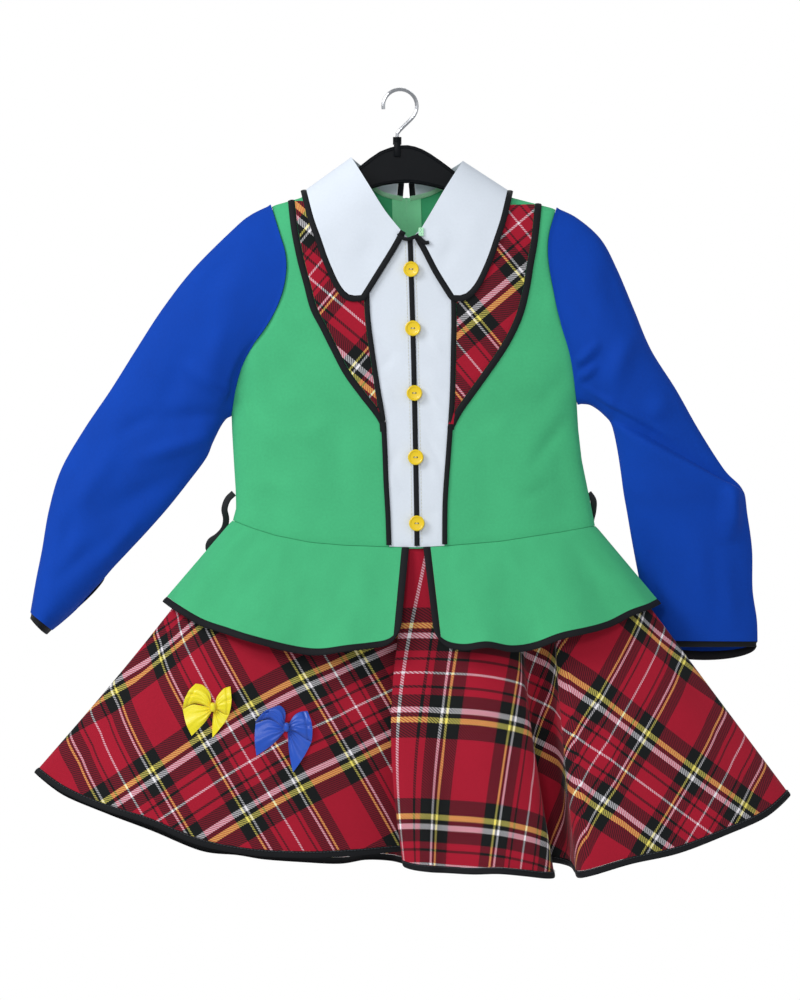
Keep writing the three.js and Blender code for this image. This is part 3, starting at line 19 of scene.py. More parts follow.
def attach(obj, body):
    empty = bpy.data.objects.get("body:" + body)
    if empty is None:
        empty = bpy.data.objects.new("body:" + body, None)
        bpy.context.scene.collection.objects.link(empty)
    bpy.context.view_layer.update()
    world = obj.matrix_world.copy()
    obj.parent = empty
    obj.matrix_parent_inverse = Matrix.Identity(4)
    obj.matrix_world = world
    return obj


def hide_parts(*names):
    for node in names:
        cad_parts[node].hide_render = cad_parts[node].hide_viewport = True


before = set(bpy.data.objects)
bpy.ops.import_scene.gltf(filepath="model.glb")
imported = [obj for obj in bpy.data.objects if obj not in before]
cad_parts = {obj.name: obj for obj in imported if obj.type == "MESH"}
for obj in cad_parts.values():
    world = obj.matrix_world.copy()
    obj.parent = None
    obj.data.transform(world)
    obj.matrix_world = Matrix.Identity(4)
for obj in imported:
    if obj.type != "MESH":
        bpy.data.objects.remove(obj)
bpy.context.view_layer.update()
scene = bpy.context.scene
MM = 0.001

# %% [markdown]
# ## Camera
#
# The photograph looks straight at the front, level with the waist. The camera stands far
# off with a long lens, because its near and far cloth show almost the same scale.

# %% Camera
camera_data = bpy.data.cameras.new("photo_camera")
camera_data.lens = 247.6
camera_data.sensor_width = 36
camera = bpy.data.objects.new("photo_camera", camera_data)
camera.location = (0, -6.4, -0.3804)
camera.rotation_euler = (math.radians(90), 0, 0)
scene.collection.objects.link(camera)
scene.camera = camera

# %% [markdown]
# ## Smooth lines
#
# Seams and hems are drawn through a few measured points, in millimetres. A Catmull-Rom
# curve passes through all of them, as a seamstress's bent ruler does, and the helper
# reads it by its share of the length so that grid lines come out evenly spaced.


# %% Measuring helpers
def unit(directions):
    """Directions made one long."""
    return directions / np.maximum(np.linalg.norm(directions, axis=-1, keepdims=True), 1e-12)


def bell(distance, width):
    """Soft bump that is one in its middle and fades over a width on both sides."""
    return np.exp(-((distance / width) ** 2))


def running_length(places):
    """Length of a line up to each of its places."""
    steps = np.linalg.norm(np.diff(places, axis=0), axis=1)
    return np.concatenate([[0], np.cumsum(steps)])


# %% Curve helpers
def between_rows(points, position, ends="held"):
    """Values of a smooth curve through the rows, at row numbers that may be fractions."""
    known = np.asarray(points, float)
    if known.ndim == 1:
        known = known[:, None]
    count = len(known)
    position = np.asarray(position, float)
    if ends == "closed":
        start = np.floor(position).astype(int)
        part = (position - start)[..., None]
        before, here, there, after = (known[(start + step) % count] for step in (-1, 0, 1, 2))
    else:
        if ends == "held":
            first, last = known[0], known[-1]
        else:
            first, last = 2 * known[0] - known[1], 2 * known[-1] - known[-2]
        padded = np.vstack([first, known, last])
        start = np.clip(np.floor(position).astype(int), 0, count - 2)
        part = (position - start)[..., None]
        before, here, there, after = (padded[start + step] for step in range(4))
    leaving, arriving = (there - before) / 2, (after - here) / 2
    cubic = 2 * here - 2 * there + leaving + arriving
    square = 3 * there - 3 * here - 2 * leaving - arriving
    return ((cubic * part + square) * part + leaving) * part + here


def smooth_curve(points, ends="held"):
    """Smooth line through points in millimetres, as a function of its length's share."""
    known = np.array(points, float) * MM
    position = np.linspace(0, len(known) - 1, 80 * (len(known) - 1) + 1)
    line = between_rows(known, position, ends)
    lengths = running_length(line)

    def at(share):
        wanted = np.clip(share, 0, 1) * lengths[-1]
        return np.stack([np.interp(wanted, lengths, axis) for axis in line.T], axis=-1)

    at.length = lengths[-1]
    return at


def straight_line(start, end):
    """Straight line between two places, as a function of the share of its length."""
    start, end = np.asarray(start, float), np.asarray(end, float)
    return lambda share: start + (end - start) * np.asarray(share, float)[..., None]


def one_after_other(first, second, first_share):
    """Two lines run as one, the first over the given share of the whole."""

    def at(share):
        share = np.asarray(share, float)
        early = first(np.clip(share / first_share, 0, 1))
        late = second(np.clip((share - first_share) / (1 - first_share), 0, 1))
        return np.where((share < first_share)[..., None], early, late)

    return at


def beside(curve, distance):
    """A line beside another one of the flat front view, at a distance in metres."""
    step = 0.004

    def at(share):
        share = np.asarray(share, float)
        along = unit(curve(np.minimum(1, share + step)) - curve(np.maximum(0, share - step)))
        return curve(share) + distance * np.stack([-along[..., 1], along[..., 0]], axis=-1)

    return at


def filled(left, right, bottom, top):
    """Flat patch between four edges, as a function of the shares across and upwards."""

    def at(across, upwards):
        u, v = across[..., None], upwards[..., None]
        sides = left(upwards) * (1 - u) + right(upwards) * u
        ends = bottom(across) * (1 - v) + top(across) * v
        zero, one = np.zeros(1), np.ones(1)
        corners = (bottom(zero) * (1 - u) + bottom(one) * u) * (1 - v)
        corners = corners + (top(zero) * (1 - u) + top(one) * u) * v
        return sides + ends - corners

    return at


# %% Mesh helper
def make_object(name, work, material=None):
    """Turns a bmesh into a linked object, with one material or none as yet."""
    mesh = bpy.data.meshes.new(name)
    for face in work.faces:
        face.smooth = True
    work.to_mesh(mesh)
    work.free()
    if material:
        mesh.materials.append(material)
    piece = bpy.data.objects.new(name, mesh)
    scene.collection.objects.link(piece)
    return piece


# %% [markdown]
# ## Waist ties
#
# Two narrow black ribbons are sewn into the side seams, for tying at the back. They come
# first because a free cord has to keep its real length. They come first, and each is a
# flat section with rounded edges, moved along a smooth line.

# %% Waist ties
LEFT_TIE = [
    (-154.6, 0, -374), (-160.5, 1, -380), (-163.4, 3, -389), (-162, 8, -398), (-164, 14, -407),
    (-170, 18, -414), (-177, 18, -419), (-178.6, 19, -426), (-174, 23, -433), (-171, 26, -441),
]
RIGHT_TIE = [
    (175.6, 2.5, -374), (180.2, 7, -381), (180, 13, -391), (178, 19, -402), (180, 25, -415),
    (184, 30, -428), (186, 33, -441), (184, 36, -452),
]
TIE_WIDTH = 6 * MM
TIE_THICKNESS = 1.2 * MM
# Corners of the section, in shares of the width and the thickness
TIE_SECTION = [
    (0.5, 0.2), (0.4, 0.5), (-0.4, 0.5), (-0.5, 0.2),
    (-0.5, -0.2), (-0.4, -0.5), (0.4, -0.5), (0.5, -0.2),
]


def ribbon(name, points):
    """Flat ribbon along points in millimetres, thinnest from front to back."""
    route = smooth_curve(points, ends="run on")
    places = route(np.linspace(0, 1, 36))
    along = unit(np.gradient(places, axis=0))
    side = unit(np.cross(along, (0, 1, 0)))
    thin = np.cross(side, along)
    work = bmesh.new()
    rings = []
    for place, wide, flat in zip(places, side, thin):
        rings.append([
            work.verts.new(place + wide * x * TIE_WIDTH + flat * y * TIE_THICKNESS)
            for x, y in TIE_SECTION
        ])
    for here, there in zip(rings, rings[1:]):
        for a in range(len(TIE_SECTION)):
            b = (a + 1) % len(TIE_SECTION)
            work.faces.new((here[a], here[b], there[b], there[a]))
    work.faces.new(rings[0][::-1])
    work.faces.new(rings[-1])
    bmesh.ops.recalc_face_normals(work, faces=work.faces)
    piece = make_object(name, work)
    print(name, "is", round(route.length, 4), "m long")
    return piece, route, [tuple(float(v) for v in place) for place in places]


waist_ties = []
for side, points in (("left", LEFT_TIE), ("right", RIGHT_TIE)):
    tie, route, path = ribbon(f"tie_ribbon_{side}", points)
    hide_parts(f"waist_tie_{side}")
    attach(tie, "garment")
    waist_ties.append(tie)

# %% [markdown]
# ## Light and floor
#
# The photograph is a bright cut-out on white, with soft light from above on the left. A
# pale world gives the even light, two large area lights give the folds their shape, and
# the floor lies well below the hem so that it stays out of the front view.

# %% Light and floor
world = bpy.data.worlds.new("studio")
world.use_nodes = True
sky = world.node_tree
background = sky.nodes["Background"]
background.inputs["Color"].default_value = (0.955, 0.975, 1, 1)
background.inputs["Strength"].default_value = 0.45
bright = sky.nodes.new("ShaderNodeBackground")
bright.inputs["Color"].default_value = (1, 1, 1, 1)
seen = sky.nodes.new("ShaderNodeLightPath")
choice = sky.nodes.new("ShaderNodeMixShader")
sky.links.new(seen.outputs["Is Camera Ray"], choice.inputs["Fac"])
sky.links.new(background.outputs["Background"], choice.inputs[1])
sky.links.new(bright.outputs["Background"], choice.inputs[2])
sky.links.new(choice.outputs["Shader"], sky.nodes["World Output"].inputs["Surface"])
scene.world = world
scene.view_settings.view_transform = "Standard"


def soft_light(name, place, aim, width, power):
    """Square area light that faces a point."""
    data = bpy.data.lights.new(name, "AREA")
    data.size = width
    data.energy = power
    lamp = bpy.data.objects.new(name, data)
    lamp.location = place
    lamp.rotation_euler = (Vector(aim) - Vector(place)).to_track_quat("-Z", "Y").to_euler()
    scene.collection.objects.link(lamp)


soft_light("key_light", (-1.7, -1.3, 0.9), (0, 0, -0.4), 0.9, 30)
soft_light("front_light", (-0.5, -3.1, 0.5), (0, 0, -0.3), 0.6, 17)
soft_light("fill_light", (1.9, -1.8, -0.1), (0, 0, -0.4), 1.6, 4)
soft_light("back_light", (0.4, 2.2, 0.8), (0, 0, -0.4), 1.6, 14)

ground = bmesh.new()
bmesh.ops.create_circle(ground, cap_ends=True, segments=96, radius=1.1)
bmesh.ops.translate(ground, verts=ground.verts, vec=(0, 0, -1.25))
floor = make_object("studio_floor", ground)

# %% [markdown]
# ## Form of the hanging bodice
#
# On its hanger the bodice is a flattened tube: about 50 mm deep in the middle, thin at
# the side seams and rounded over the shoulders. The same rule and the same tables as in
# the CAD source place each panel, so the dressed costume keeps the solids' dimensions.

# %% Seam tables, in millimetres of the front view
LEFT_EDGE = [
    (-158, -410), (-156.2, -399), (-153.2, -388), (-153.6, -371), (-155.4, -343), (-157, -315),
    (-157.4, -301), (-164, -281), (-171, -240), (-174, -60),
]
RIGHT_EDGE = [
    (186, -415), (182, -404), (175.5, -371), (169.8, -343), (166.6, -315), (165, -290), (172, -270),
    (179, -229), (182, -60),
]
SHOULDER_LINE = [
    (-180, -124), (-119.5, -107), (-93, -99.5), (-70, -86.5), (-46, -71), (6, -38), (58, -75.5),
    (80, -88.5), (103, -98.8), (145, -109.7), (205, -126),
]
LEFT_ARMHOLE = [
    (-157.4, -301), (-153.5, -277), (-147.5, -256), (-138.5, -239), (-125.6, -222), (-115, -204),
    (-108, -185), (-105, -166), (-106.2, -150), (-111, -134), (-119.5, -107),
]
RIGHT_ARMHOLE = [
    (165, -290), (162.5, -268), (160, -252), (157, -239), (151.6, -222), (146, -204), (142, -185),
    (138.6, -167), (136.9, -150), (138.4, -132), (145, -109.7),
]
WAIST = [
    (-156.2, -399), (-139.5, -405.5), (-116, -413), (-83.7, -419.4), (-51, -422.2), (-10.2, -423.6),
    (15.8, -424.2), (41.4, -422.8), (93, -418.5), (148.8, -410), (182, -404),
]
LEFT_PLASTRON = [
    (-10.2, -423.6), (-11.2, -394), (-13, -362), (-14, -334), (-15.8, -306), (-20.5, -278),
    (-26, -241), (-30, -208), (-30.6, -170), (-29, -103),
]
RIGHT_PLASTRON = [
    (41.4, -422.8), (41.9, -380.4), (45.1, -334), (48.2, -287.4), (49.4, -241), (49.8, -203.7),
    (48, -160), (41.5, -107),
]
CENTRE_FRONT = [
    (15.8, -424.2), (15.2, -380), (14, -315), (12.4, -241), (10.8, -185), (9.4, -139),
]
CENTRE_BACK = [
    (14, -424.2), (12, -340), (9, -220), (6, -98.5),
]
NECK_POINTS = {"left": (-46, -71), "right": (58, -75.5)}
BODY_HALF_DEPTH = 25 * MM
SIDE_ROUNDING = 2.6
SHOULDER_ROUND_HEIGHT = 58 * MM
SEAM_GAP = 0.3 * MM
ZIP_WIDTH = 3 * MM


# %% Bodice form
def read_table(rows, by, wanted, position):
    """Straight-line reading of a table in metres, by one of its columns."""
    ordered = sorted((row[by] * MM, row[wanted] * MM) for row in rows)
    return np.interp(position, *zip(*ordered))


def body_half_depth(x, z, stand_out=0.0, top_line=SHOULDER_LINE):
    """How far the bodice stands out from its middle plane."""
    left = read_table(LEFT_EDGE, 1, 0, z)
    right = read_table(RIGHT_EDGE, 1, 0, z)
    from_middle = np.minimum(1, np.abs(2 * x - left - right) / (right - left))
    sides = np.sqrt(1 - from_middle**SIDE_ROUNDING)
    below = np.maximum(0, read_table(top_line, 0, 1, x) - z)
    rising = 1 - np.minimum(1, below / SHOULDER_ROUND_HEIGHT)
    return (BODY_HALF_DEPTH * sides + stand_out) * np.sqrt(1 - rising * rising)


def on_body(side, flat, stand_out=0.0, top_line=SHOULDER_LINE, seam=SEAM_GAP / 2):
    """Places on the front (side -1) or back (side 1), and their outward directions."""
    x, z = flat[..., 0], flat[..., 1]
    step = 1e-6

    def depth(right, up):
        return body_half_depth(x + right, z + up, stand_out, top_line)

    slope_x = (depth(step, 0) - depth(-step, 0)) / (2 * step)
    slope_z = (depth(0, step) - depth(0, -step)) / (2 * step)
    place = np.stack([x, side * (seam + depth(0, 0)), z], axis=-1)
    return place, unit(np.stack([-slope_x, np.full_like(x, side), -slope_z], axis=-1))


# %% [markdown]
# ## Creases
#
# A crease is a soft trough or ridge along a line. Each row below gives its two ends in
# the front view, its half width and its height, in millimetres. Everything that lies on
# the bodice reads the same creases, so trims and lapels follow the cloth under them.

# %% Creases
BODICE_FRONT_CREASES = [
    (-150, -270, -120, -318, 5, -1.8), (-138, -230, -126, -300, 6, 1.2),
    (158, -300, 120, -352, 6, -1.7), (-100, -330, -60, -300, 9, 1.3),
    (70, -330, 110, -300, 9, 1.2), (-140, -360, -96, -372, 7, 1.3), (150, -362, 110, -380, 7, -1.3),
    (-150, -262, -118, -300, 9, -1.6), (-146, -285, -104, -330, 12, 1.5),
    (158, -262, 126, -296, 9, -1.6), (156, -285, 112, -335, 13, 1.5),
    (-122, -330, -112, -408, 14, -1.6), (-92, -300, -78, -410, 16, 1.4),
    (-60, -290, -52, -412, 11, -1.2), (78, -300, 84, -412, 13, -1.3),
    (112, -310, 126, -405, 15, 1.5), (146, -320, 156, -400, 10, -1.2),
    (-128, -160, -112, -222, 8, 1.1), (146, -168, 138, -226, 8, 1.1),
]
BODICE_BACK_CREASES = [
    (-140, -250, -90, -300, 12, -1.7), (146, -250, 96, -300, 12, -1.7),
    (-110, -290, -96, -410, 15, 1.6), (-60, -250, -52, -405, 14, -1.4),
    (60, -260, 66, -405, 14, 1.4), (118, -290, 128, -405, 15, -1.6),
    (-30, -180, -60, -240, 14, 1.2), (40, -180, 74, -240, 14, 1.2),
]
SHIRT_CREASES = [
    (20, -272, 42, -300, 3.4, 0.9), (22, -318, 40, -350, 3.6, -0.9), (-20, -270, -4, -292, 3.6, 0.8),
    (-14, -352, 0, -372, 3.2, 0.8), (26, -226, 40, -246, 4, 0.8), (-24, -228, -8, -246, 4, -0.7),
    (24, -300, 38, -318, 5, -0.9), (22, -262, 40, -276, 6, 0.8), (-2, -240, -20, -262, 5, -0.8),
    (26, -340, 40, -372, 5, 0.8), (0, -330, -10, -352, 5, -0.7), (24, -388, 38, -396, 4, -0.6),
]


def crease_height(flat, creases):
    """Sum of soft ridges and troughs at places of the front view."""
    x, z = flat[..., 0], flat[..., 1]
    height = np.zeros_like(x)
    for x1, z1, x2, z2, width, rise in creases:
        run = np.array([x2 - x1, z2 - z1]) * MM
        length = np.linalg.norm(run)
        across_x, across_z = x - x1 * MM, z - z1 * MM
        share = (across_x * run[0] + across_z * run[1]) / length**2
        off = (across_x * run[1] - across_z * run[0]) / length
        fade = np.sin(np.pi * np.clip(0.08 + 0.84 * share, 0, 1)) ** 1.3
        fade = np.where((share < -0.09) | (share > 1.09), 0, fade)
        height += rise * MM * fade * bell(off, width * MM)
    return height


# Creases fade out towards the shoulder, up to this height and over this length, in metres
CREASES_END = -0.118
CREASES_FADE = 0.03


def on_creased_body(side, flat, height=0.0, **settings):
    """Places above the creased bodice, with their outward directions."""
    place, out = on_body(side, flat, **settings)
    creases = BODICE_FRONT_CREASES + SHIRT_CREASES if side < 0 else BODICE_BACK_CREASES
    below_shoulder = np.clip((CREASES_END - flat[..., 1]) / CREASES_FADE, 0, 1)
    rise = height + crease_height(flat, creases) * below_shoulder
    return place + out * np.asarray(rise)[..., None], out


# %% [markdown]
# ## From a grid to a sewn panel
#
# `create_grid` gives a flat sheet. Each of its corners is moved to its place on the
# garment, and its flat cloth coordinates go into a UV map in metres, so that weave and
# tartan follow the cut of the cloth. Solidify then gives the sheet its thickness
# inwards, and edges sharper than 50 degrees are shaded as corners.


# %% Panel helpers
def grid_shares(columns, rows):
    """Shares across and upwards for a grid with that many faces each way."""
    return np.meshgrid(np.linspace(0, 1, columns + 1), np.linspace(0, 1, rows + 1))


def keep_modified_shape(piece, corner=50):
    """Applies a piece's modifiers and marks its corners."""
    bpy.context.view_layer.update()
    seen_piece = piece.evaluated_get(bpy.context.evaluated_depsgraph_get())
    shaped = bpy.data.meshes.new_from_object(seen_piece)
    piece.modifiers.clear()
    piece.data = shaped
    shaped.set_sharp_from_angle(angle=math.radians(corner))


def panel(name, places, outward, cloth_uv, material, thickness, tube=False):
    """Thin shell on a grid of places, with its outside on the outward side."""
    rows, columns = places.shape[:2]
    work = bmesh.new()
    bmesh.ops.create_grid(work, x_segments=columns - 1, y_segments=rows - 1, size=0.5)
    flat = np.array([vertex.co[:2] for vertex in work.verts])
    column = np.rint((flat[:, 0] - flat[:, 0].min()) / np.ptp(flat[:, 0]) * (columns - 1))
    row = np.rint((flat[:, 1] - flat[:, 1].min()) / np.ptp(flat[:, 1]) * (rows - 1))
    column, row = column.astype(int), row.astype(int)
    uv_layer = work.loops.layers.uv.new("cloth")
    for vertex, r, c in zip(work.verts, row, column):
        vertex.co = places[r, c]
        for loop in vertex.link_loops:
            loop[uv_layer].uv = cloth_uv[r, c]
    work.normal_update()
    facing = [
        vertex.normal.dot(Vector(outward[r, c])) for vertex, r, c in zip(work.verts, row, column)
    ]
    if sum(facing) < 0:
        bmesh.ops.reverse_faces(work, faces=work.faces)
    if tube:
        bmesh.ops.remove_doubles(work, verts=work.verts, dist=1e-6)
    piece = make_object(name, work, material)
    shell = piece.modifiers.new("cloth thickness", "SOLIDIFY")
    shell.thickness = thickness
    shell.offset = -1
    keep_modified_shape(piece)
    return piece


def rolled_edges(places, out, edges, width=2.2 * MM, drop=0.7 * MM):
    """Presses the named edges of a grid down, as a stitched seam pulls cloth in."""
    lengths_across = np.cumsum(np.linalg.norm(np.diff(places, axis=1), axis=-1), axis=1)
    lengths_up = np.cumsum(np.linalg.norm(np.diff(places, axis=0), axis=-1), axis=0)
    from_left = np.pad(lengths_across, ((0, 0), (1, 0)))
    from_bottom = np.pad(lengths_up, ((1, 0), (0, 0)))
    ways = {
        "left": from_left,
        "right": from_left[:, -1:] - from_left,
        "bottom": from_bottom,
        "top": from_bottom[-1:] - from_bottom,
    }
    press = np.zeros(places.shape[:2])
    for edge in edges:
        press = np.maximum(press, bell(ways[edge], width))
    return places - out * (drop * press)[..., None]


def finish_piece(piece, slot, *nodes):
    """Every piece rides on the garment and stands for its CAD nodes; its slot is not used."""
    if nodes:
        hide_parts(*nodes)
    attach(piece, "garment")
    return piece


# %% [markdown]
# ## Cloth finishes
#
# The plain weave is shared by several materials, so it is a node group. It gives the
# threads, a slight unevenness of tone and painted shade where the weave dips between
# threads, and reads the piece's own UV map in metres.


# %% Node helpers
def node(tree, kind, inputs=None, **settings):
    """Adds a node, sets it up and fills or links its inputs."""
    made = tree.nodes.new(kind)
    for key, value in settings.items():
        setattr(made, key, value)
    for key, value in (inputs or {}).items():
        if isinstance(value, bpy.types.NodeSocket):
            tree.links.new(value, made.inputs[key])
        else:
            made.inputs[key].default_value = value
    return made


def maths(tree, operation, first, second=0.0, third=0.0):
    """Arithmetic on sockets or numbers."""
    made = node(tree, "ShaderNodeMath", {0: first, 1: second, 2: third}, operation=operation)
    return made.outputs[0]


def srgb(red, green, blue):
    """Colour from 0 to 255 as it looks on a screen, made linear."""
    parts = [value / 255 for value in (red, green, blue)]
    linear = [p / 12.92 if p <= 0.04045 else ((p + 0.055) / 1.055) ** 2.4 for p in parts]
    return (*linear, 1)


def new_group(name, inputs, outputs):
    """Empty shader group with named sockets."""
    group = bpy.data.node_groups.new(name, "ShaderNodeTree")
    for socket, kind, value in inputs:
        made = group.interface.new_socket(socket, in_out="INPUT", socket_type=kind)
        if value is not None:
            made.default_value = value
    for socket, kind in outputs:
        group.interface.new_socket(socket, in_out="OUTPUT", socket_type=kind)
    start = group.nodes.new("NodeGroupInput").outputs
    end = group.nodes.new("NodeGroupOutput").inputs
    return group, start, end


def ramp(tree, position, stops, constant=False):
    """Colour ramp with the given (position, colour) stops."""
    made = node(tree, "ShaderNodeValToRGB", {"Fac": position})
    made.color_ramp.interpolation = "CONSTANT" if constant else "LINEAR"
    elements = made.color_ramp.elements
    elements[0].position, elements[0].color = stops[0]
    elements[1].position, elements[1].color = stops[1]
    for place, colour in stops[2:]:
        elements.new(place).color = colour
    return made.outputs["Color"]


# %% Plain weave group
weave_group, ends_in, ends_out = new_group(
    "plain_weave",
    [("Place", "NodeSocketVector", None), ("Threads per metre", "NodeSocketFloat", 1500.0),
     ("Unevenness", "NodeSocketFloat", 0.08)],
    [("Height", "NodeSocketFloat"), ("Tone and groove shade", "NodeSocketFloat")],
)
axes = node(weave_group, "ShaderNodeSeparateXYZ", {"Vector": ends_in["Place"]})
turns = maths(weave_group, "MULTIPLY", ends_in["Threads per metre"], math.pi)
warp = maths(weave_group, "SINE", maths(weave_group, "MULTIPLY", axes.outputs["X"], turns))
weft = maths(weave_group, "SINE", maths(weave_group, "MULTIPLY", axes.outputs["Y"], turns))
height = maths(weave_group, "MULTIPLY_ADD", maths(weave_group, "MULTIPLY", warp, weft), 0.5, 0.5)
slub = node(
    weave_group, "ShaderNodeTexNoise",
    {"Vector": ends_in["Place"], "Scale": 420.0, "Detail": 3.0, "Roughness": 0.6},
)
blotch = node(
    weave_group, "ShaderNodeTexNoise",
    {"Vector": ends_in["Place"], "Scale": 26.0, "Detail": 2.0, "Roughness": 0.5},
)
mixed = maths(weave_group, "ADD", slub.outputs["Fac"], blotch.outputs["Fac"])
swing = maths(weave_group, "SUBTRACT", mixed, 1.0)
tone = maths(weave_group, "MULTIPLY_ADD", swing, ends_in["Unevenness"], 1.0)
# Painted shade: the colour is a little darker where the weave dips between threads
groove_shade = maths(weave_group, "MULTIPLY_ADD", height, 0.06, 0.96)
weave_group.links.new(height, ends_out["Height"])
weave_group.links.new(maths(weave_group, "MULTIPLY", tone, groove_shade), ends_out["Tone and groove shade"])


# %% Material helpers
def use_group(tree, group, inputs):
    """Places a node group in a material."""
    return node(tree, "ShaderNodeGroup", inputs, node_tree=group)


def new_material(name, **constants):
    """Node material with its tree and main shader, whose named sockets are set."""
    material = bpy.data.materials.new(name)
    material.use_nodes = True
    tree = material.node_tree
    shader = tree.nodes["Principled BSDF"]
    for key, value in constants.items():
        shader.inputs[key.replace("_", " ")].default_value = value
    return material, tree, shader


def tint_and_relief(tree, shader, colour, tone, strength, distance, height):
    """Links a colour times a tone, and a bump from a height, to a shader."""
    tinted = node(tree, "ShaderNodeVectorMath", {0: colour, "Scale": tone}, operation="SCALE")
    tree.links.new(tinted.outputs["Vector"], shader.inputs["Base Color"])
    relief = node(
        tree, "ShaderNodeBump", {"Strength": strength, "Distance": distance, "Height": height},
    )
    tree.links.new(relief.outputs["Normal"], shader.inputs["Normal"])


# %% Plain cloth materials
def plain_cloth(
    name, colour, roughness=0.82, threads=1500.0, unevenness=0.2, sheen=0.12, bump=0.55,
):
    """Woven cloth of one colour, with threads, slubs and a soft sheen."""
    material, tree, shader = new_material(
        name, Roughness=roughness, Sheen_Weight=sheen, Sheen_Roughness=0.45, Specular_IOR_Level=0.22,
    )
    cloth = node(tree, "ShaderNodeUVMap", uv_map="cloth").outputs["UV"]
    weave = use_group(tree, weave_group, {"Place": cloth, "Threads per metre": threads,
                                          "Unevenness": unevenness}).outputs
    tint_and_relief(tree, shader, colour[:3], weave["Tone and groove shade"], bump, 0.2 * MM, weave["Height"])
    return material


green_cloth = plain_cloth("green_cloth", srgb(75, 190, 130), sheen=0.05)
zip_tape_cloth = plain_cloth("green_zip_tape", srgb(150, 250, 186), threads=900.0)
white_cloth = plain_cloth("white_cloth", srgb(232, 240, 250), unevenness=0.07, sheen=0.0)
blue_cloth = plain_cloth("blue_cloth", srgb(0, 67, 178), unevenness=0.2, sheen=0.0)
binding_tape = plain_cloth("black_binding", srgb(17, 19, 23), roughness=0.7, threads=1300.0,
                           unevenness=0.25, sheen=0.06)

# %% [markdown]
# ## Tartan
#
# A tartan is one list of stripes used both ways. Where a lengthwise thread lies on top
# its colour shows, elsewhere the crosswise one does, and in a twill that change runs
# diagonally. So the material needs two colour ramps, folded back and forth with
# ping-pong, and a stair-stepped diagonal mask that picks between them.

# %% Tartan group
TARTAN_RED, TARTAN_BLACK = srgb(172, 20, 46), srgb(16, 20, 21)
TARTAN_WHITE, TARTAN_YELLOW = srgb(250, 246, 250), srgb(252, 236, 112)
THREAD = 0.62 * MM
WIDE_SETT = [
    (0, TARTAN_RED), (28, TARTAN_BLACK), (42, TARTAN_YELLOW), (47.3, TARTAN_BLACK),
    (51.2, TARTAN_WHITE), (56.5, TARTAN_BLACK), (68, TARTAN_RED), (74, TARTAN_BLACK),
    (76.5, TARTAN_RED), (87.4, TARTAN_WHITE),
]
WIDE_HALF = 88.5
NARROW_SETT = [
    (0, TARTAN_RED), (16, TARTAN_BLACK), (26, TARTAN_YELLOW), (28, TARTAN_BLACK),
    (30.3, TARTAN_WHITE), (32.3, TARTAN_BLACK), (41, TARTAN_RED), (44.6, TARTAN_BLACK),
    (46.4, TARTAN_RED), (56.6, TARTAN_WHITE),
]
NARROW_HALF = 57.5

tartan_group, ends_in, ends_out = new_group(
    "tartan", [("Place", "NodeSocketVector", None)],
    [("Color", "NodeSocketColor"), ("Height", "NodeSocketFloat")],
)
axes = node(tartan_group, "ShaderNodeSeparateXYZ", {"Vector": ends_in["Place"]})
folded = {}
for letter, half, sett in (("X", NARROW_HALF, NARROW_SETT), ("Y", WIDE_HALF, WIDE_SETT)):
    back_and_forth = maths(tartan_group, "PINGPONG", axes.outputs[letter], half * MM)
    share = maths(tartan_group, "DIVIDE", back_and_forth, half * MM)
    stops = [(start / half, colour) for start, colour in sett]
    folded[letter] = ramp(tartan_group, share, stops, constant=True)
counted = [
    maths(tartan_group, "FLOOR", maths(tartan_group, "DIVIDE", axes.outputs[letter], THREAD))
    for letter in "XY"
]
diagonal = maths(tartan_group, "MULTIPLY", maths(tartan_group, "ADD", *counted), 0.25)
on_top = maths(tartan_group, "GREATER_THAN", maths(tartan_group, "FRACT", diagonal), 0.49)
soft_top = maths(tartan_group, "MULTIPLY_ADD", on_top, 0.5, 0.27)
picked = node(tartan_group, "ShaderNodeMix", {"Factor": soft_top}, data_type="RGBA")
# Mixed threads shade each other and look darker than their mean, so roots are mixed
for letter, place in (("X", 6), ("Y", 7)):
    root = node(tartan_group, "ShaderNodeGamma", {"Color": folded[letter], "Gamma": 1 / 2.4})
    tartan_group.links.new(root.outputs["Color"], picked.inputs[place])
squared = node(tartan_group, "ShaderNodeGamma", {"Color": picked.outputs[2], "Gamma": 2.4})
tartan_group.links.new(squared.outputs["Color"], ends_out["Color"])
within = [
    maths(tartan_group, "PINGPONG", axes.outputs[letter], THREAD / 2) for letter in "XY"
]
lumps = maths(tartan_group, "DIVIDE", maths(tartan_group, "ADD", *within), THREAD)
tartan_group.links.new(maths(tartan_group, "MULTIPLY_ADD", on_top, 0.4, lumps), ends_out["Height"])


def tartan_cloth(name, shift=(0, 0), turn=0):
    """Tartan twill, with the pattern moved and turned on the piece's cloth coordinates."""
    material, tree, shader = new_material(
        name, Roughness=0.85, Sheen_Weight=0.1, Specular_IOR_Level=0.2,
    )
    cloth = node(tree, "ShaderNodeUVMap", uv_map="cloth").outputs["UV"]
    set_out = node(tree, "ShaderNodeMapping", {
        "Vector": cloth, "Location": (shift[0] * MM, shift[1] * MM, 0),
        "Rotation": (0, 0, math.radians(turn)),
    })
    stripes = use_group(tree, tartan_group, {"Place": set_out.outputs["Vector"]}).outputs
    weave = use_group(tree, weave_group, {"Place": cloth, "Threads per metre": 1250.0,
                                          "Unevenness": 0.16}).outputs
    tint_and_relief(tree, shader, stripes["Color"], weave["Tone and groove shade"], 0.4, 0.25 * MM, stripes["Height"])
    return material


skirt_tartan = tartan_cloth("skirt_tartan", shift=(49.5, 0))
lapel_tartan_left = tartan_cloth("lapel_tartan_left", shift=(11, 99), turn=40)
lapel_tartan_right = tartan_cloth("lapel_tartan_right", shift=(53, 77), turn=-40)

# %% [markdown]
# ## Bodice
#
# The bodice is cut in four green panels. Each is a patch between its side seam with the
# armhole, the line beside the shirt front or the zip, the waist and the shoulder.

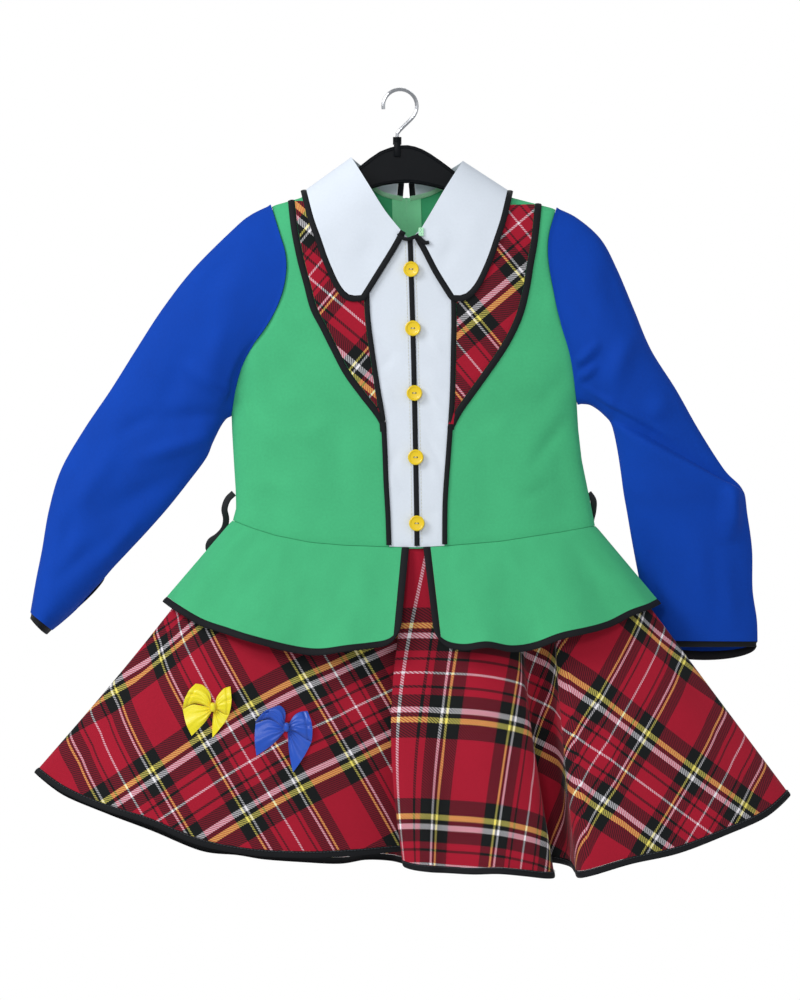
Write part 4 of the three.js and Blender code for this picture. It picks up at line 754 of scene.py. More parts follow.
# %% Seam lines
armholes = {"left": smooth_curve(LEFT_ARMHOLE), "right": smooth_curve(RIGHT_ARMHOLE)}
plastrons = {"left": smooth_curve(LEFT_PLASTRON), "right": smooth_curve(RIGHT_PLASTRON)}
centre_front = smooth_curve(CENTRE_FRONT)
centre_back = smooth_curve(CENTRE_BACK)


def towards_shoulder(share):
    """Grid lines that come closer together near the shoulder, where the cloth rounds."""
    return 1 - (1 - np.clip(share, 0, 1)) ** 1.4


def side_seam(edge, waist_z, underarm_z):
    """Side of the bodice from the waist up to the underarm."""

    def at(share):
        z = (waist_z + (underarm_z - waist_z) * np.asarray(share, float)) * MM
        return np.stack([read_table(edge, 1, 0, z), z], axis=-1)

    return at


def between_on_waist(from_x, to_x):
    """Part of the waist seam between two places across."""

    def at(share):
        x = from_x + (to_x - from_x) * np.asarray(share, float)
        return np.stack([x, read_table(WAIST, 0, 1, x)], axis=-1)

    return at


body_sides = {
    "left": one_after_other(
        side_seam(LEFT_EDGE, -399, -301),
        lambda share: armholes["left"](towards_shoulder(share)), 4 / 14),
    "right": one_after_other(
        side_seam(RIGHT_EDGE, -404, -290),
        lambda share: armholes["right"](towards_shoulder(share)), 4 / 14),
}


def first_x(curve):
    """Where a line of the front view starts, across."""
    return float(curve(np.zeros(1))[0, 0])


def last_of(curve):
    """Where a line of the front view ends."""
    return curve(np.ones(1))[0]


# %% Bodice and shirt panels
def flat_panel(side, name, flat_of, columns, rows, material, thickness, edges):
    """Panel of the bodice over a flat patch, with stitched edges pulled in."""
    across, upwards = grid_shares(columns, rows)
    flat = flat_of(across, upwards)
    places, out = on_creased_body(side, flat)
    places = rolled_edges(places, out, edges)
    return panel(name, places, out, flat, material, thickness)


def back_neck(name, seam):
    """Back neck seam of one side, from the shoulder to the top of the zip."""
    neck = NECK_POINTS[name]
    zip_top = last_of(beside(centre_back, seam * (ZIP_WIDTH / 2 + SEAM_GAP))) / MM
    return smooth_curve([neck, ((neck[0] + zip_top[0]) / 2 + seam * 2, -92), zip_top])


BODICE_WALL = 1.2 * MM
SHIRT_WALL = 1.1 * MM
bodice_pieces = {}
for name, seam in (("left", 1), ("right", -1)):
    outer_edge = body_sides[name]
    plastron_edge = beside(plastrons[name], seam * SEAM_GAP / 2)
    tip = last_of(outer_edge)
    neck_place = np.array(NECK_POINTS[name]) * MM

    def shoulder(share, tip=tip, neck_x=neck_place[0]):
        x = tip[0] + (neck_x - tip[0]) * np.asarray(share, float)
        return np.stack([x, read_table(SHOULDER_LINE, 0, 1, x)], axis=-1)

    neck_line = straight_line(neck_place, last_of(plastron_edge))
    front = filled(outer_edge, plastron_edge,
                   between_on_waist(first_x(outer_edge), first_x(plastron_edge)),
                   one_after_other(shoulder, neck_line, 0.75))
    bodice_pieces[f"front_{name}"] = flat_panel(
        -1, f"bodice_cloth_front_{name}", front, 48, 96, green_cloth, BODICE_WALL,
        ("left", "bottom", "top"))

    zip_side = beside(centre_back, seam * (ZIP_WIDTH / 2 + SEAM_GAP))
    back = filled(outer_edge, zip_side,
                  between_on_waist(first_x(outer_edge), first_x(zip_side)),
                  one_after_other(shoulder, back_neck(name, seam), 0.625))
    bodice_pieces[f"back_{name}"] = flat_panel(
        1, f"bodice_cloth_back_{name}", back, 48, 96, green_cloth, BODICE_WALL,
        ("left", "right", "bottom"))

    shirt_edge = beside(plastrons[name], -seam * SEAM_GAP / 2)
    shirt_centre = beside(centre_front, seam * SEAM_GAP / 2)
    shirt = filled(shirt_edge, shirt_centre,
                   between_on_waist(first_x(shirt_edge), first_x(shirt_centre)),
                   straight_line(last_of(shirt_edge), last_of(shirt_centre)))
    bodice_pieces[f"shirt_{name}"] = flat_panel(
        -1, f"shirt_cloth_{name}", shirt, 20, 110, white_cloth, SHIRT_WALL, ("bottom",))

for name in ("left", "right"):
    finish_piece(bodice_pieces[f"front_{name}"], "green_cloth", f"bodice_front_{name}")
    finish_piece(bodice_pieces[f"back_{name}"], "green_cloth", f"bodice_back_{name}")
    finish_piece(bodice_pieces[f"shirt_{name}"], "white_cloth", f"shirt_front_{name}")

# %% [markdown]
# ## Bindings
#
# The black edges are strips of bias tape folded over the cloth and stitched down. A
# strip is a narrow grid whose section is crowned, with the line of stitches pressed in
# near its inner edge.


# %% Binding helper
STRIP_BASE = 0.1 * MM
STITCH_DENT = 0.35 * MM


def crowned_strip(name, near, far, out, height, material, crown=0.9 * MM, tube=False):
    """Strip between two edge lines, crowned outwards, with a stitch line near its first edge."""
    shares = np.linspace(0, 1, 9)
    rise = crown * np.sqrt(np.maximum(0, 1 - (2 * shares - 1) ** 2))
    rise = rise - STITCH_DENT * bell(shares - 0.2, 0.07)
    places = near[:, None] + (far - near)[:, None] * shares[None, :, None]
    places = places + out[:, None] * (height - crown + STRIP_BASE + rise)[None, :, None]
    outward = np.repeat(out[:, None], len(shares), axis=1)
    along = running_length((near + far) / 2)
    width = np.linalg.norm(far - near, axis=1).mean()
    cloth_uv = np.stack(np.meshgrid(shares * width, along), axis=-1)
    return panel(name, places, outward, cloth_uv, material, 0.9 * MM, tube=tube)


def strip_on_body(name, curve, width, height):
    """Black binding along a line of the front view, lying on the creased bodice."""
    share = np.linspace(0.004, 1, 160)
    near, out = on_creased_body(-1, beside(curve, width / 2)(share))
    far = on_creased_body(-1, beside(curve, -width / 2)(share))[0]
    return crowned_strip(name, near, far, out, height, binding_tape)


# %% Shirt front bindings and piping
TRIM_WIDTH = 4.8 * MM
for name in ("left", "right"):
    strip = strip_on_body(f"shirt_edge_binding_{name}", plastrons[name], TRIM_WIDTH, 2.1 * MM)
    finish_piece(strip, "black_binding", f"plastron_binding_{name}")
strip = strip_on_body("button_stand_piping", centre_front, TRIM_WIDTH, 1.5 * MM)
finish_piece(strip, "black_binding", "placket_piping")

# %% [markdown]
# ## Lapels
#
# The lapels are flat tartan pieces sewn on top of the bodice, cut on the slant, with a
# bound outer edge that runs to a point beside the shirt front.

# %% Lapels
LEFT_LAPEL = [
    (-14, -320), (-22.3, -304), (-37.2, -284.6), (-52.1, -264), (-64.2, -241), (-73.5, -222.3),
    (-83, -203.7), (-89.3, -180.4), (-95.5, -157), (-101, -129), (-104, -103.2),
]
RIGHT_LAPEL = [
    (48, -318), (56.7, -301), (68.8, -283.7), (80.9, -266.9), (93.9, -248.3), (105.1, -229.7),
    (114.4, -208.3), (120.2, -185), (124, -161.8), (128, -138.6), (131.6, -106.3),
]
LAPEL_BINDING_WIDTH = 6.2 * MM


def share_at_height(curve, z):
    """Share of a rising line at which it reaches a height."""
    shares = np.linspace(0, 1, 2001)
    return np.interp(z, curve(shares)[:, 1], shares)


def close_to_shoulder(share):
    """Grid lines that come much closer together near the shoulder."""
    return 1 - (1 - share) ** 1.9


for name, rows, inward, tip_z, top_z, finish in (
    ("left", LEFT_LAPEL, -1, -0.308, -0.105, lapel_tartan_left),
    ("right", RIGHT_LAPEL, 1, -0.310, -0.109, lapel_tartan_right),
):
    edge = smooth_curve(rows)
    seam = plastrons[name]
    beside_trim = TRIM_WIDTH / 2 + SEAM_GAP
    inner_edge = beside(seam, -inward * beside_trim)
    outer_edge = beside(edge, inward * (LAPEL_BINDING_WIDTH + SEAM_GAP))
    across, upwards = grid_shares(16, 90)
    lines = []
    for curve, top in ((inner_edge, top_z), (outer_edge, rows[-1][1] * MM)):
        start, end = share_at_height(curve, tip_z), share_at_height(curve, top)
        lines.append(curve(start + (end - start) * close_to_shoulder(upwards)))
    flat = lines[0] + (lines[1] - lines[0]) * across[..., None]
    places, out = on_creased_body(-1, flat, height=1.45 * MM)
    places = rolled_edges(places, out, ("left", "right"), drop=0.5 * MM)
    lapel = panel(f"lapel_cloth_{name}", places, out, flat, finish, 1.0 * MM)
    finish_piece(lapel, "tartan_cloth", f"lapel_{name}")

    middle = beside(edge, inward * LAPEL_BINDING_WIDTH / 2)

    def binding_line(share, middle=middle, seam=seam, inward=inward):
        spot = middle(close_to_shoulder(np.asarray(share, float)))
        seam_x = seam(share_at_height(seam, spot[..., 1]))[..., 0]
        if inward < 0:
            spot[..., 0] = np.minimum(spot[..., 0], seam_x - 0.5 * MM)
        else:
            spot[..., 0] = np.maximum(spot[..., 0], seam_x + 0.5 * MM)
        return spot

    strip = strip_on_body(
        f"lapel_edge_binding_{name}", binding_line, LAPEL_BINDING_WIDTH, 1.8 * MM,
    )
    finish_piece(strip, "black_binding", f"lapel_binding_{name}")

# %% [markdown]
# ## Collar
#
# The collar is two pieces that fold over the neckline, rest on the shoulders and part at
# the back over the zip. Each is one panel that runs from the front, over the shoulder,
# to the back, so its grid is denser near the shoulder where it turns.

# %% Collar tables and form
COLLARS = {
    "left": {
        "roll": [(0.5, -130), (-14, -112), (-29, -88), (-44.6, -62.5)],
        "outer": [(-36, -190.5), (-47, -190), (-56, -180), (-66, -158), (-73, -138),
                  (-80, -118), (-86.4, -92.5)],
        "front": [(0.5, -130), (-9, -147), (-22, -168), (-36, -190.5)],
        "back roll": [(-44.6, -62.5), (-26, -75), (-1.6, -83)],
        "back outer": [(-86.4, -92.5), (-74, -135), (-44, -160), (-8, -167)],
        "back end": [(-1.6, -83), (-4, -110), (-8, -167)],
    },
    "right": {
        "roll": [(17, -133), (28, -115), (42, -91), (57.7, -66)],
        "outer": [(50, -190.5), (60, -189.5), (70, -179), (80, -158), (87, -138),
                  (93.4, -118), (99.2, -93)],
        "front": [(17, -133), (25, -147), (36, -168), (50, -190.5)],
        "back roll": [(57.7, -66), (39, -76), (13.6, -84)],
        "back outer": [(99.2, -93), (87, -135), (57, -160), (21, -167)],
        "back end": [(13.6, -84), (16, -110), (21, -167)],
    },
}
COLLAR_STANDS_OUT = 2.3 * MM
COLLAR_BINDING_WIDTH = 5.6 * MM
COLLAR_CREASES = [
    (-60, -120, -30, -150, 12, 0.8), (-20, -130, -40, -170, 9, -0.8),
    (46, -140, 40, -172, 8, -0.9), (70, -110, 62, -160, 12, 0.8), (30, -128, 44, -150, 7, 0.7),
]


def collar_top_line(collar):
    """Line over the shoulder from the collar's roll to its outer edge, run on both ways."""
    peak, outer = collar["roll"][-1], collar["outer"][-1]
    slope = (outer[1] - peak[1]) / (outer[0] - peak[0])
    return [(peak[0] + reach, peak[1] + reach * slope) for reach in (-120, 120)]


def on_collar(collar, side, flat, height):
    """Places on a collar half, at a height above its under side."""
    line = collar_top_line(collar)
    place, out = on_body(side, flat, stand_out=COLLAR_STANDS_OUT, top_line=line, seam=0)
    over = flat[..., 1] >= read_table(line, 0, 1, flat[..., 0]) - 1e-7
    run = np.array([line[1][0] - line[0][0], 0, line[1][1] - line[0][1]])
    up = np.array([-run[2], 0, run[0]]) / np.linalg.norm(run)
    out = np.where(over[..., None], up, out)
    place[..., 1] = np.where(over, 0, place[..., 1])
    rise = height + (crease_height(flat, COLLAR_CREASES) if side < 0 else 0)
    return place + out * np.asarray(rise)[..., None], out


def towards_peak(share):
    """Grid lines that come closer together at the top of the shoulder."""
    return 1 - (1 - share) ** 1.8


# %% Collar pieces
for name, collar in COLLARS.items():
    lines = {key: smooth_curve(rows) for key, rows in collar.items()}
    over_shoulder = straight_line(last_of(lines["roll"]), last_of(lines["outer"]))
    halves = {
        -1: filled(lines["roll"], lines["outer"], lines["front"], over_shoulder),
        1: filled(lines["back roll"], lines["back outer"], over_shoulder, lines["back end"]),
    }
    across, upwards = grid_shares(28, 36)
    front_flat = halves[-1](across, towards_peak(upwards))
    back_flat = halves[1](across, 1 - towards_peak(1 - upwards))
    front_place, front_out = on_collar(collar, -1, front_flat, 1.45 * MM)
    back_place, back_out = on_collar(collar, 1, back_flat, 1.45 * MM)
    places = np.concatenate([front_place, back_place[1:]])
    out = np.concatenate([front_out, back_out[1:]])
    cloth_uv = np.concatenate([front_flat, 2 * back_flat[0] - back_flat[1:]])
    piece = panel(f"collar_cloth_{name}", places, out, cloth_uv, white_cloth, 1.2 * MM)
    finish_piece(piece, "white_cloth", f"collar_{name}")

    turn = -1 if name == "left" else 1
    rim = [
        (-1, lines["front"](np.linspace(0, 1, 40))),
        (-1, lines["outer"](np.linspace(0, 1, 80))[1:]),
        (1, lines["back outer"](np.linspace(0, 1, 60))[1:]),
        (1, lines["back end"](np.linspace(1, 0, 30))[1:]),
    ]
    spots = np.concatenate([part for side, part in rim])
    sides = np.concatenate([np.full(len(part), side) for side, part in rim])
    before = np.concatenate([spots[:1], spots[:-1]])
    after = np.concatenate([spots[1:], spots[-1:]])
    top_row = len(rim[0][1]) + len(rim[1][1]) - 1
    after[top_row] = spots[top_row]
    along = unit(after - before)
    outwards = np.stack([along[:, 1], -along[:, 0]], axis=1) * (-turn * sides)[:, None]
    edges = []
    for away in (0.1 * MM, 0.1 * MM + COLLAR_BINDING_WIDTH):
        flat = spots + outwards * away
        front_part = on_collar(collar, -1, flat, 0.0)
        back_part = on_collar(collar, 1, flat, 0.0)
        is_front = (sides < 0)[:, None]
        place = np.where(is_front, front_part[0], back_part[0])
        place[top_row] = (flat[top_row, 0], 0, flat[top_row, 1])
        direction = np.where(is_front, front_part[1], back_part[1])
        direction[top_row] = direction[top_row - 1] + direction[top_row + 1]
        direction[top_row, 1] = 0
        direction[top_row] = unit(direction[top_row])
        edges.append((place, direction))
    strip = crowned_strip(f"collar_edge_binding_{name}", edges[0][0], edges[1][0], edges[0][1],
                          1.8 * MM, binding_tape)
    finish_piece(strip, "black_binding", f"collar_binding_{name}")

# %% [markdown]
# ## Sleeves
#
# A sleeve is a flattened tube: a row of sections from the armhole ring to the cuff, each
# with an outer and an inner edge, a middle and a half depth. Long creases run from the
# armpit to the elbow, where the cloth bends.

# %% Sleeve tables
# outer x and z, inner x and z, middle y, half depth, swing of the back in x and z
SLEEVE_SECTIONS = {"left": [
    (-119.5, -107, -157.4, -301, 0, 20, 0, 0), (-138, -116, -163, -305, 0, 22, 0, 0),
    (-154, -129, -168.5, -313, 0, 23, 0, 0), (-191.6, -166.5, -175, -326, 0, 23, 0, 0),
    (-220.4, -203.7, -181.4, -341, 0, 21, 0, 0), (-244.6, -241, -197, -362, 0, 19, 0, 0),
    (-267.8, -278, -216, -386, 0, 18, 0, 0), (-293, -315.3, -235.3, -408, 0, 17, 0, 0),
    (-314.3, -352.5, -253, -427, 0, 17, 0, 0), (-325.5, -389.7, -268, -443, 0, 18, 0, 0),
    (-332, -427, -281, -458, 0, 20, 4, 3), (-337.6, -455, -299, -476, 1, 21, 12, 9),
    (-342, -480, -320, -496.5, 2, 22, 27, 21),
], "right": [
    (145, -109.7, 165, -290, 0, 20, 0, 0), (164, -119, 170, -290, 0, 22, 0, 0),
    (186, -138.6, 177, -291, 0, 23, 0, 0), (201, -166.5, 184, -295, 0, 22, 0, 0),
    (216.7, -203.7, 191, -301, 0, 21, 0, 0), (232.5, -241, 197, -308, 1, 19, 0, 0),
    (255.8, -278, 201, -320, 2, 18, 0, 0), (277, -315.3, 204, -336, 4, 17, 0, 0),
    (301, -352.5, 207, -356, 6, 16, 0, 0), (318, -371, 209.5, -374, 8, 15, 0, 0),
    (322.7, -394.3, 213, -393, 12, 14, 0, 0), (327.4, -427, 218, -421, 18, 14, 0, 0),
    (328.3, -464, 225, -456, 26, 13, 0, 0), (332.5, -492, 232, -487, 31, 13, 0, 0),
    (333.3, -512, 237, -511, 33, 13, 0, -5),
]}
SLEEVE_CREASES = {
    "left": {
        -1: [(-150, -288, -204, -252, 7, -3.6), (-158, -300, -232, -306, 8, 3.0),
             (-168, -318, -250, -344, 7, -3.4), (-196, -350, -286, -400, 12, 3.0),
             (-146, -140, -190, -196, 12, 2.4), (-160, -206, -182, -280, 11, -2.4),
             (-262, -330, -312, -402, 10, -2.6), (-226, -300, -262, -318, 7, 2.2),
             (-280, -420, -322, -458, 8, 2.4), (-240, -396, -286, -446, 7, -2.4),
             (-196, -240, -222, -300, 11, 2.0), (-300, -380, -318, -440, 8, 1.8)],
        1: [(-152, -290, -216, -250, 10, 2.4), (-164, -310, -244, -322, 11, -2.2),
            (-180, -330, -260, -372, 12, 2.0), (-222, -300, -300, -396, 13, -1.8)],
    },
    "right": {
        -1: [(165, -272, 254, -323, 2.8, -2.4), (161, -257, 185, -235, 4.5, -4.2),
             (161, -272, 183, -256, 4, -3.6), (213, -228, 195, -276, 9, -3.0),
             (250, -286, 232, -306, 10, -2.4), (308, -366, 309, -416, 8, -8.0),
             (232, -400, 240, -498, 11, 2.6), (276, -412, 286, -500, 12, -2.4),
             (190, -160, 214, -232, 11, 2.2), (300, -430, 312, -500, 9, -2.2)],
        1: [(176, -284, 312, -366, 10, 3.0), (190, -310, 296, -384, 12, -2.6),
            (236, -400, 244, -496, 12, -1.8), (280, -410, 288, -500, 14, 1.6)],
    },
}
# The bent elbow folds the upper arm over the forearm along this line: x, z of its two ends
ELBOW_FOLD = ((190, -303), (322, -374))
ELBOW_FOLD_HEIGHT = 7 * MM
ELBOW_EDGE = 1.3 * MM
LAP_WIDTH = 34 * MM
HOLLOW_WIDTH = 14 * MM
SLEEVE_CREASE_SCALE = 1.3
SLEEVE_LENGTH = 440 * MM
SLEEVE_COLUMNS = {"left": 110, "right": 176}
SLEEVE_ROWS = {"left": 130, "right": 210}
CUFF_STARTS = {"left": 1.026, "right": 1.002}
CUFF_ENDS = {"left": 1.0588, "right": 1.033}


# %% Elbow fold
def folded_over(flat):
    """Height of the upper arm's cloth where it laps over the forearm, with the hollow below."""
    start, end = np.array(ELBOW_FOLD[0]) * MM, np.array(ELBOW_FOLD[1]) * MM
    run = end - start
    length = np.linalg.norm(run)
    share = ((flat - start) @ run) / length**2
    above = ((flat[..., 0] - start[0]) * -run[1] + (flat[..., 1] - start[1]) * run[0]) / length
    ends = np.clip(share / 0.3, 0, 1) * np.clip((1.02 - share) / 0.08, 0, 1)
    step = 0.5 + 0.5 * np.tanh(above / ELBOW_EDGE)
    lap = step * bell(np.maximum(0, above), LAP_WIDTH)
    hollow = (1 - step) * bell(np.minimum(0, above), HOLLOW_WIDTH)
    return ELBOW_FOLD_HEIGHT * ends * (lap - 0.45 * hollow)


# %% Sleeve form
def sleeve_places(name, around, along):
    """Places on a sleeve, at shares around from the shoulder and along to the cuff."""
    past_end = np.maximum(0, along - 1)
    if np.any(past_end > 0):
        held = np.minimum(1, along)
        before = sleeve_places(name, around, held - 0.01)
        here = sleeve_places(name, around, held)
        return here + (here - before) * (past_end / 0.01)[..., None]
    rows = np.array(SLEEVE_SECTIONS[name], float)
    seam_line = beside(armholes[name], 0.4 * MM if name == "left" else -0.4 * MM)
    side = np.where(around <= 0.5, -1, 1)
    down = np.where(around <= 0.5, 2 * around, 2 - 2 * around)
    read = between_rows(rows, along * (len(rows) - 1)) * MM
    outer, inner = read[..., 0:2], read[..., 2:4]
    swing = np.stack([np.abs(read[..., 6]), read[..., 7]], axis=-1)
    near_cuff = np.clip((along - 0.86) / 0.14, 0, 1)
    if name == "left":
        swing = swing * (1 + 0.6 * near_cuff)[..., None]
    else:
        swing[..., 1] -= 5 * MM * near_cuff
    arm_share = 1 - towards_shoulder(1 - down)
    round_share = (1 - np.cos(np.pi * down)) / 2
    settled = np.clip(along / 0.22, 0, 1)
    settled = settled * settled * (3 - 2 * settled)
    share = arm_share + (round_share - arm_share) * settled
    chord = outer + (inner - outer) * share[..., None]
    seam_spot = seam_line(towards_shoulder(1 - down))
    first = rows[0] * MM
    seam_chord = first[0:2] + (first[2:4] - first[0:2]) * arm_share[..., None]
    fade = np.maximum(0, 1 - along / 0.3) ** 2
    chord = chord + (seam_spot - seam_chord) * fade[..., None]
    thickness = np.sqrt(np.maximum(0, 1 - (2 * share - 1) ** 2))
    chord = chord + swing * (thickness * (side > 0))[..., None]
    on_seam = body_half_depth(seam_spot[..., 0], seam_spot[..., 1])
    depth = read[..., 5] * thickness * (1 - fade) + on_seam * fade
    return np.stack([chord[..., 0], read[..., 4] + side * depth, chord[..., 1]], axis=-1)


def sleeve_surface(name, columns, rows, start, end):
    """Grid of places on a sleeve with their outward directions, creases included."""
    around, along = grid_shares(columns, rows)
    along = start + (end - start) * (along**1.2 if start == 0 else along)
    places = sleeve_places(name, around, along)
    step = 0.002
    across = sleeve_places(name, (around + step) % 1, along)
    across = across - sleeve_places(name, (around - step) % 1, along)
    down = sleeve_places(name, around, along + step)
    down = down - sleeve_places(name, around, np.maximum(0, along - step))
    turn = 1 if name == "left" else -1
    down = np.where((along < 0.001)[..., None], np.array([-turn, 0.0, 0.0]), down)
    out = unit(turn * np.cross(across, down))
    flat = places[..., [0, 2]]
    rise = np.zeros(places.shape[:2])
    for side, on_side in ((-1, around <= 0.5), (1, around > 0.5)):
        creases = SLEEVE_CREASES[name][side]
        rise = np.where(on_side, SLEEVE_CREASE_SCALE * crease_height(flat, creases), rise)
    if name == "right":
        rise = rise + np.where(around <= 0.5, folded_over(flat), 0)
    edge_fade = np.clip(np.minimum(along / 0.06, (1 - along) / 0.03), 0, 1)
    round_fade = np.sin(np.pi * np.clip(2 * np.minimum(around, 1 - around), 0, 1)) ** 0.7
    places = places + out * (rise * edge_fade * np.clip(round_fade * 1.4, 0, 1))[..., None]
    ring = np.linalg.norm(np.diff(places, axis=1), axis=-1).cumsum(axis=1)
    ring = np.pad(ring, ((0, 0), (1, 0)))
    cloth_uv = np.stack([ring - ring[:, -1:] / 2, -along * SLEEVE_LENGTH], axis=-1)
    return places, out, cloth_uv


# %% Sleeve pieces and cuff bindings
for name in ("left", "right"):
    cuff_share = CUFF_STARTS[name]
    places, out, cloth_uv = sleeve_surface(
        name, SLEEVE_COLUMNS[name], SLEEVE_ROWS[name], 0, cuff_share + 0.001,
    )
    places = rolled_edges(places, out, ("bottom",), drop=0.6 * MM)
    piece = panel(f"sleeve_cloth_{name}", places, out, cloth_uv, blue_cloth, 1.2 * MM, tube=True)
    finish_piece(piece, "blue_cloth", f"sleeve_{name}")
    places, out, cloth_uv = sleeve_surface(name, 96, 2, cuff_share, CUFF_ENDS[name])
    near = np.concatenate([places[0, :-1], places[0, :1]])
    far = np.concatenate([places[-1, :-1], places[-1, :1]])
    outs = np.concatenate([out[1, :-1], out[1, :1]])
    strip = crowned_strip(f"cuff_edge_binding_{name}", near, far, outs, 0.9 * MM, binding_tape,
                          crown=0.8 * MM, tube=True)
    finish_piece(strip, "black_binding", f"cuff_binding_{name}")

# %% [markdown]
# ## Skirt
#
# The skirt is cut as three quarters of a ring of cloth, 144 mm from the centre at the
# waist and 442 mm at the hem, and it hangs in folds. Straight lines run from the waist
# seam down to a hem line measured from the photograph, and each knows its angle in the
# flat cut. That angle is what turns the tartan at the sides as on the real skirt.

# %% Skirt table: x, y, z and sideways bow of the hem, once round from the left side seam
SKIRT_HEM = [
    (-340.4, 0, -634, 5), (-315, -16, -651, 3), (-275, -29, -667.6, 0), (-232, -37, -681, 0),
    (-188, -43, -699, 0), (-139, -46, -708.5, 0), (-84, -45, -711, 0), (-37, -38, -709, 0),
    (6, -27, -706, 0), (40, -20, -708, 0), (60, -18, -710, 0), (67, -25, -712, 0),
    (55, -33, -713, -3), (30, -38, -714, -8), (10, -44, -716, -14), (3, -53, -718.5, -17),
    (12, -61, -721.5, -12), (28, -64, -723.5, -5), (43, -59, -724.5, -2), (68, -66, -725.5, 0),
    (91, -70, -725, 0), (114, -68, -727, 0), (135, -60, -729.5, 0), (143, -49, -729, 0),
    (138, -34, -725, 0), (130, -14, -720, 0), (141, 2, -718, 0), (157, -8, -721, 0),
    (162, -30, -726, 0), (165, -47, -729.5, -4), (178, -56, -727, -2), (214, -56, -716, 0),
    (258, -49, -706.5, 0), (302, -37, -690.5, 0), (340, -21, -674.5, 0), (363.6, 0, -655, 0),
    (335, 22, -677, 0), (279, 40, -700, 0), (225, 54, -715, 0), (178, 62, -722, 0),
    (140, 48, -720, 0), (118, 22, -716, 0), (92, 34, -719, 0), (76, 60, -724, 0), (44, 70, -726, 0),
    (12, 62, -724, 0), (-8, 32, -718, 0), (-34, 28, -717, 0), (-58, 54, -722, 0),
    (-92, 66, -721, 0), (-128, 60, -718, 0), (-152, 42, -713, 0), (-186, 46, -709, 0),
    (-232, 42, -690, 0), (-275, 31, -673.5, 0), (-314, 15, -656, 3),
]
SKIRT_SIDE_ROW = 35
SKIRT_LAYS_INSIDE = 4.2 * MM
SKIRT_STARTS_BELOW = 1.2 * MM
HEM_BINDING_WIDTH = 6.4 * MM
SKIRT_HEM_SHARE = 1 - HEM_BINDING_WIDTH / (300 * MM)
CUT_WAIST_RADIUS = 144 * MM
CUT_ANGLE = math.radians(270)


# %% Skirt form
def waist_ring(around, inset):
    """Places on the waist seam, as a share of the way round from the left side seam."""
    half = around * 2
    side = np.where(half <= 1, -1, 1)
    share = np.where(half <= 1, half, 2 - half)
    ends = WAIST[0][0] * MM, WAIST[-1][0] * MM
    x = ends[0] + (ends[1] - ends[0]) * (1 - np.cos(np.pi * share)) / 2
    z = read_table(WAIST, 0, 1, x)
    flat = np.stack([x, z], axis=-1)
    front = on_body(-1, flat)
    back = on_body(1, flat)
    is_front = (side < 0)[..., None]
    place = np.where(is_front, front[0], back[0])
    out = np.where(is_front, front[1], back[1])
    at_side = (share < 1e-6) | (share > 1 - 1e-6)
    place[..., 1] = np.where(at_side, 0, place[..., 1])
    out[..., 1] = np.where(at_side, 0, out[..., 1])
    out[..., 2] = 0
    place = place - unit(out) * inset
    place[..., 2] = z - SEAM_GAP
    return place


hem_rows = np.array(SKIRT_HEM, float)
row_count = len(hem_rows)
hem_lengths = running_length(np.vstack([hem_rows, hem_rows[:1]])[:, :3])
front_length = hem_lengths[SKIRT_SIDE_ROW]
waist_shares = np.where(
    np.arange(row_count + 1) <= SKIRT_SIDE_ROW,
    0.5 * hem_lengths / front_length,
    0.5 + 0.5 * (hem_lengths - front_length) / (hem_lengths[-1] - front_length),
)


def skirt_places(row, down):
    """Places on the skirt at a row of the hem table and a share of the way down."""
    wrapped = np.mod(row, row_count)
    share = np.interp(wrapped, np.arange(row_count + 1), waist_shares)
    bow = np.interp(wrapped, np.arange(row_count + 1), np.append(hem_rows[:, 3], hem_rows[0, 3]))
    top = waist_ring(share, SKIRT_LAYS_INSIDE)
    top[..., 2] -= SKIRT_STARTS_BELOW
    hem = between_rows(hem_rows[:, :3], wrapped, "closed") * MM
    place = top + (hem - top) * down[..., None]
    place[..., 0] += bow * MM * np.sin(np.pi * np.clip(down, 0, 1))
    return place


def skirt_cut(row, down):
    """Flat cloth coordinates of the skirt, with the middle of the front straight down."""
    share = np.interp(np.mod(row, row_count), np.arange(row_count + 1), waist_shares)
    share = np.where((row >= row_count) & (share < 1e-9), 1.0, share)
    angle = CUT_ANGLE * (share - 0.25)
    whole = skirt_places(row, np.ones_like(row)) - skirt_places(row, np.zeros_like(row))
    radius = CUT_WAIST_RADIUS + np.linalg.norm(whole, axis=-1) * down
    slip = np.interp(row, [0, 7, 13, 35, 37], [12 * MM, 12 * MM, -6 * MM, -6 * MM, 0])
    return np.stack([radius * np.sin(angle), -radius * np.cos(angle) + slip], axis=-1)


# Soft swells: row of the hem table, width in rows, height in mm, power of the way down
SKIRT_DRAPE = [
    (3.5, 2.2, 4.5, 0.9), (6.5, 2.6, -3.6, 1.2), (9.2, 1.6, 3.0, 1.5), (1.4, 1.1, -2.2, 0.8),
    (20.0, 1.2, 2.0, 1.2), (31.6, 1.3, -3.0, 1.0), (33.4, 1.0, 2.2, 0.8), (29.9, 0.9, 2.0, 1.0),
    (38.0, 1.3, 3.0, 1.0), (40.2, 1.0, -2.4, 1.0), (47.0, 1.4, 2.4, 1.0), (52.6, 1.3, -3.0, 1.0),
    (54.6, 0.9, 2.2, 0.9),
]


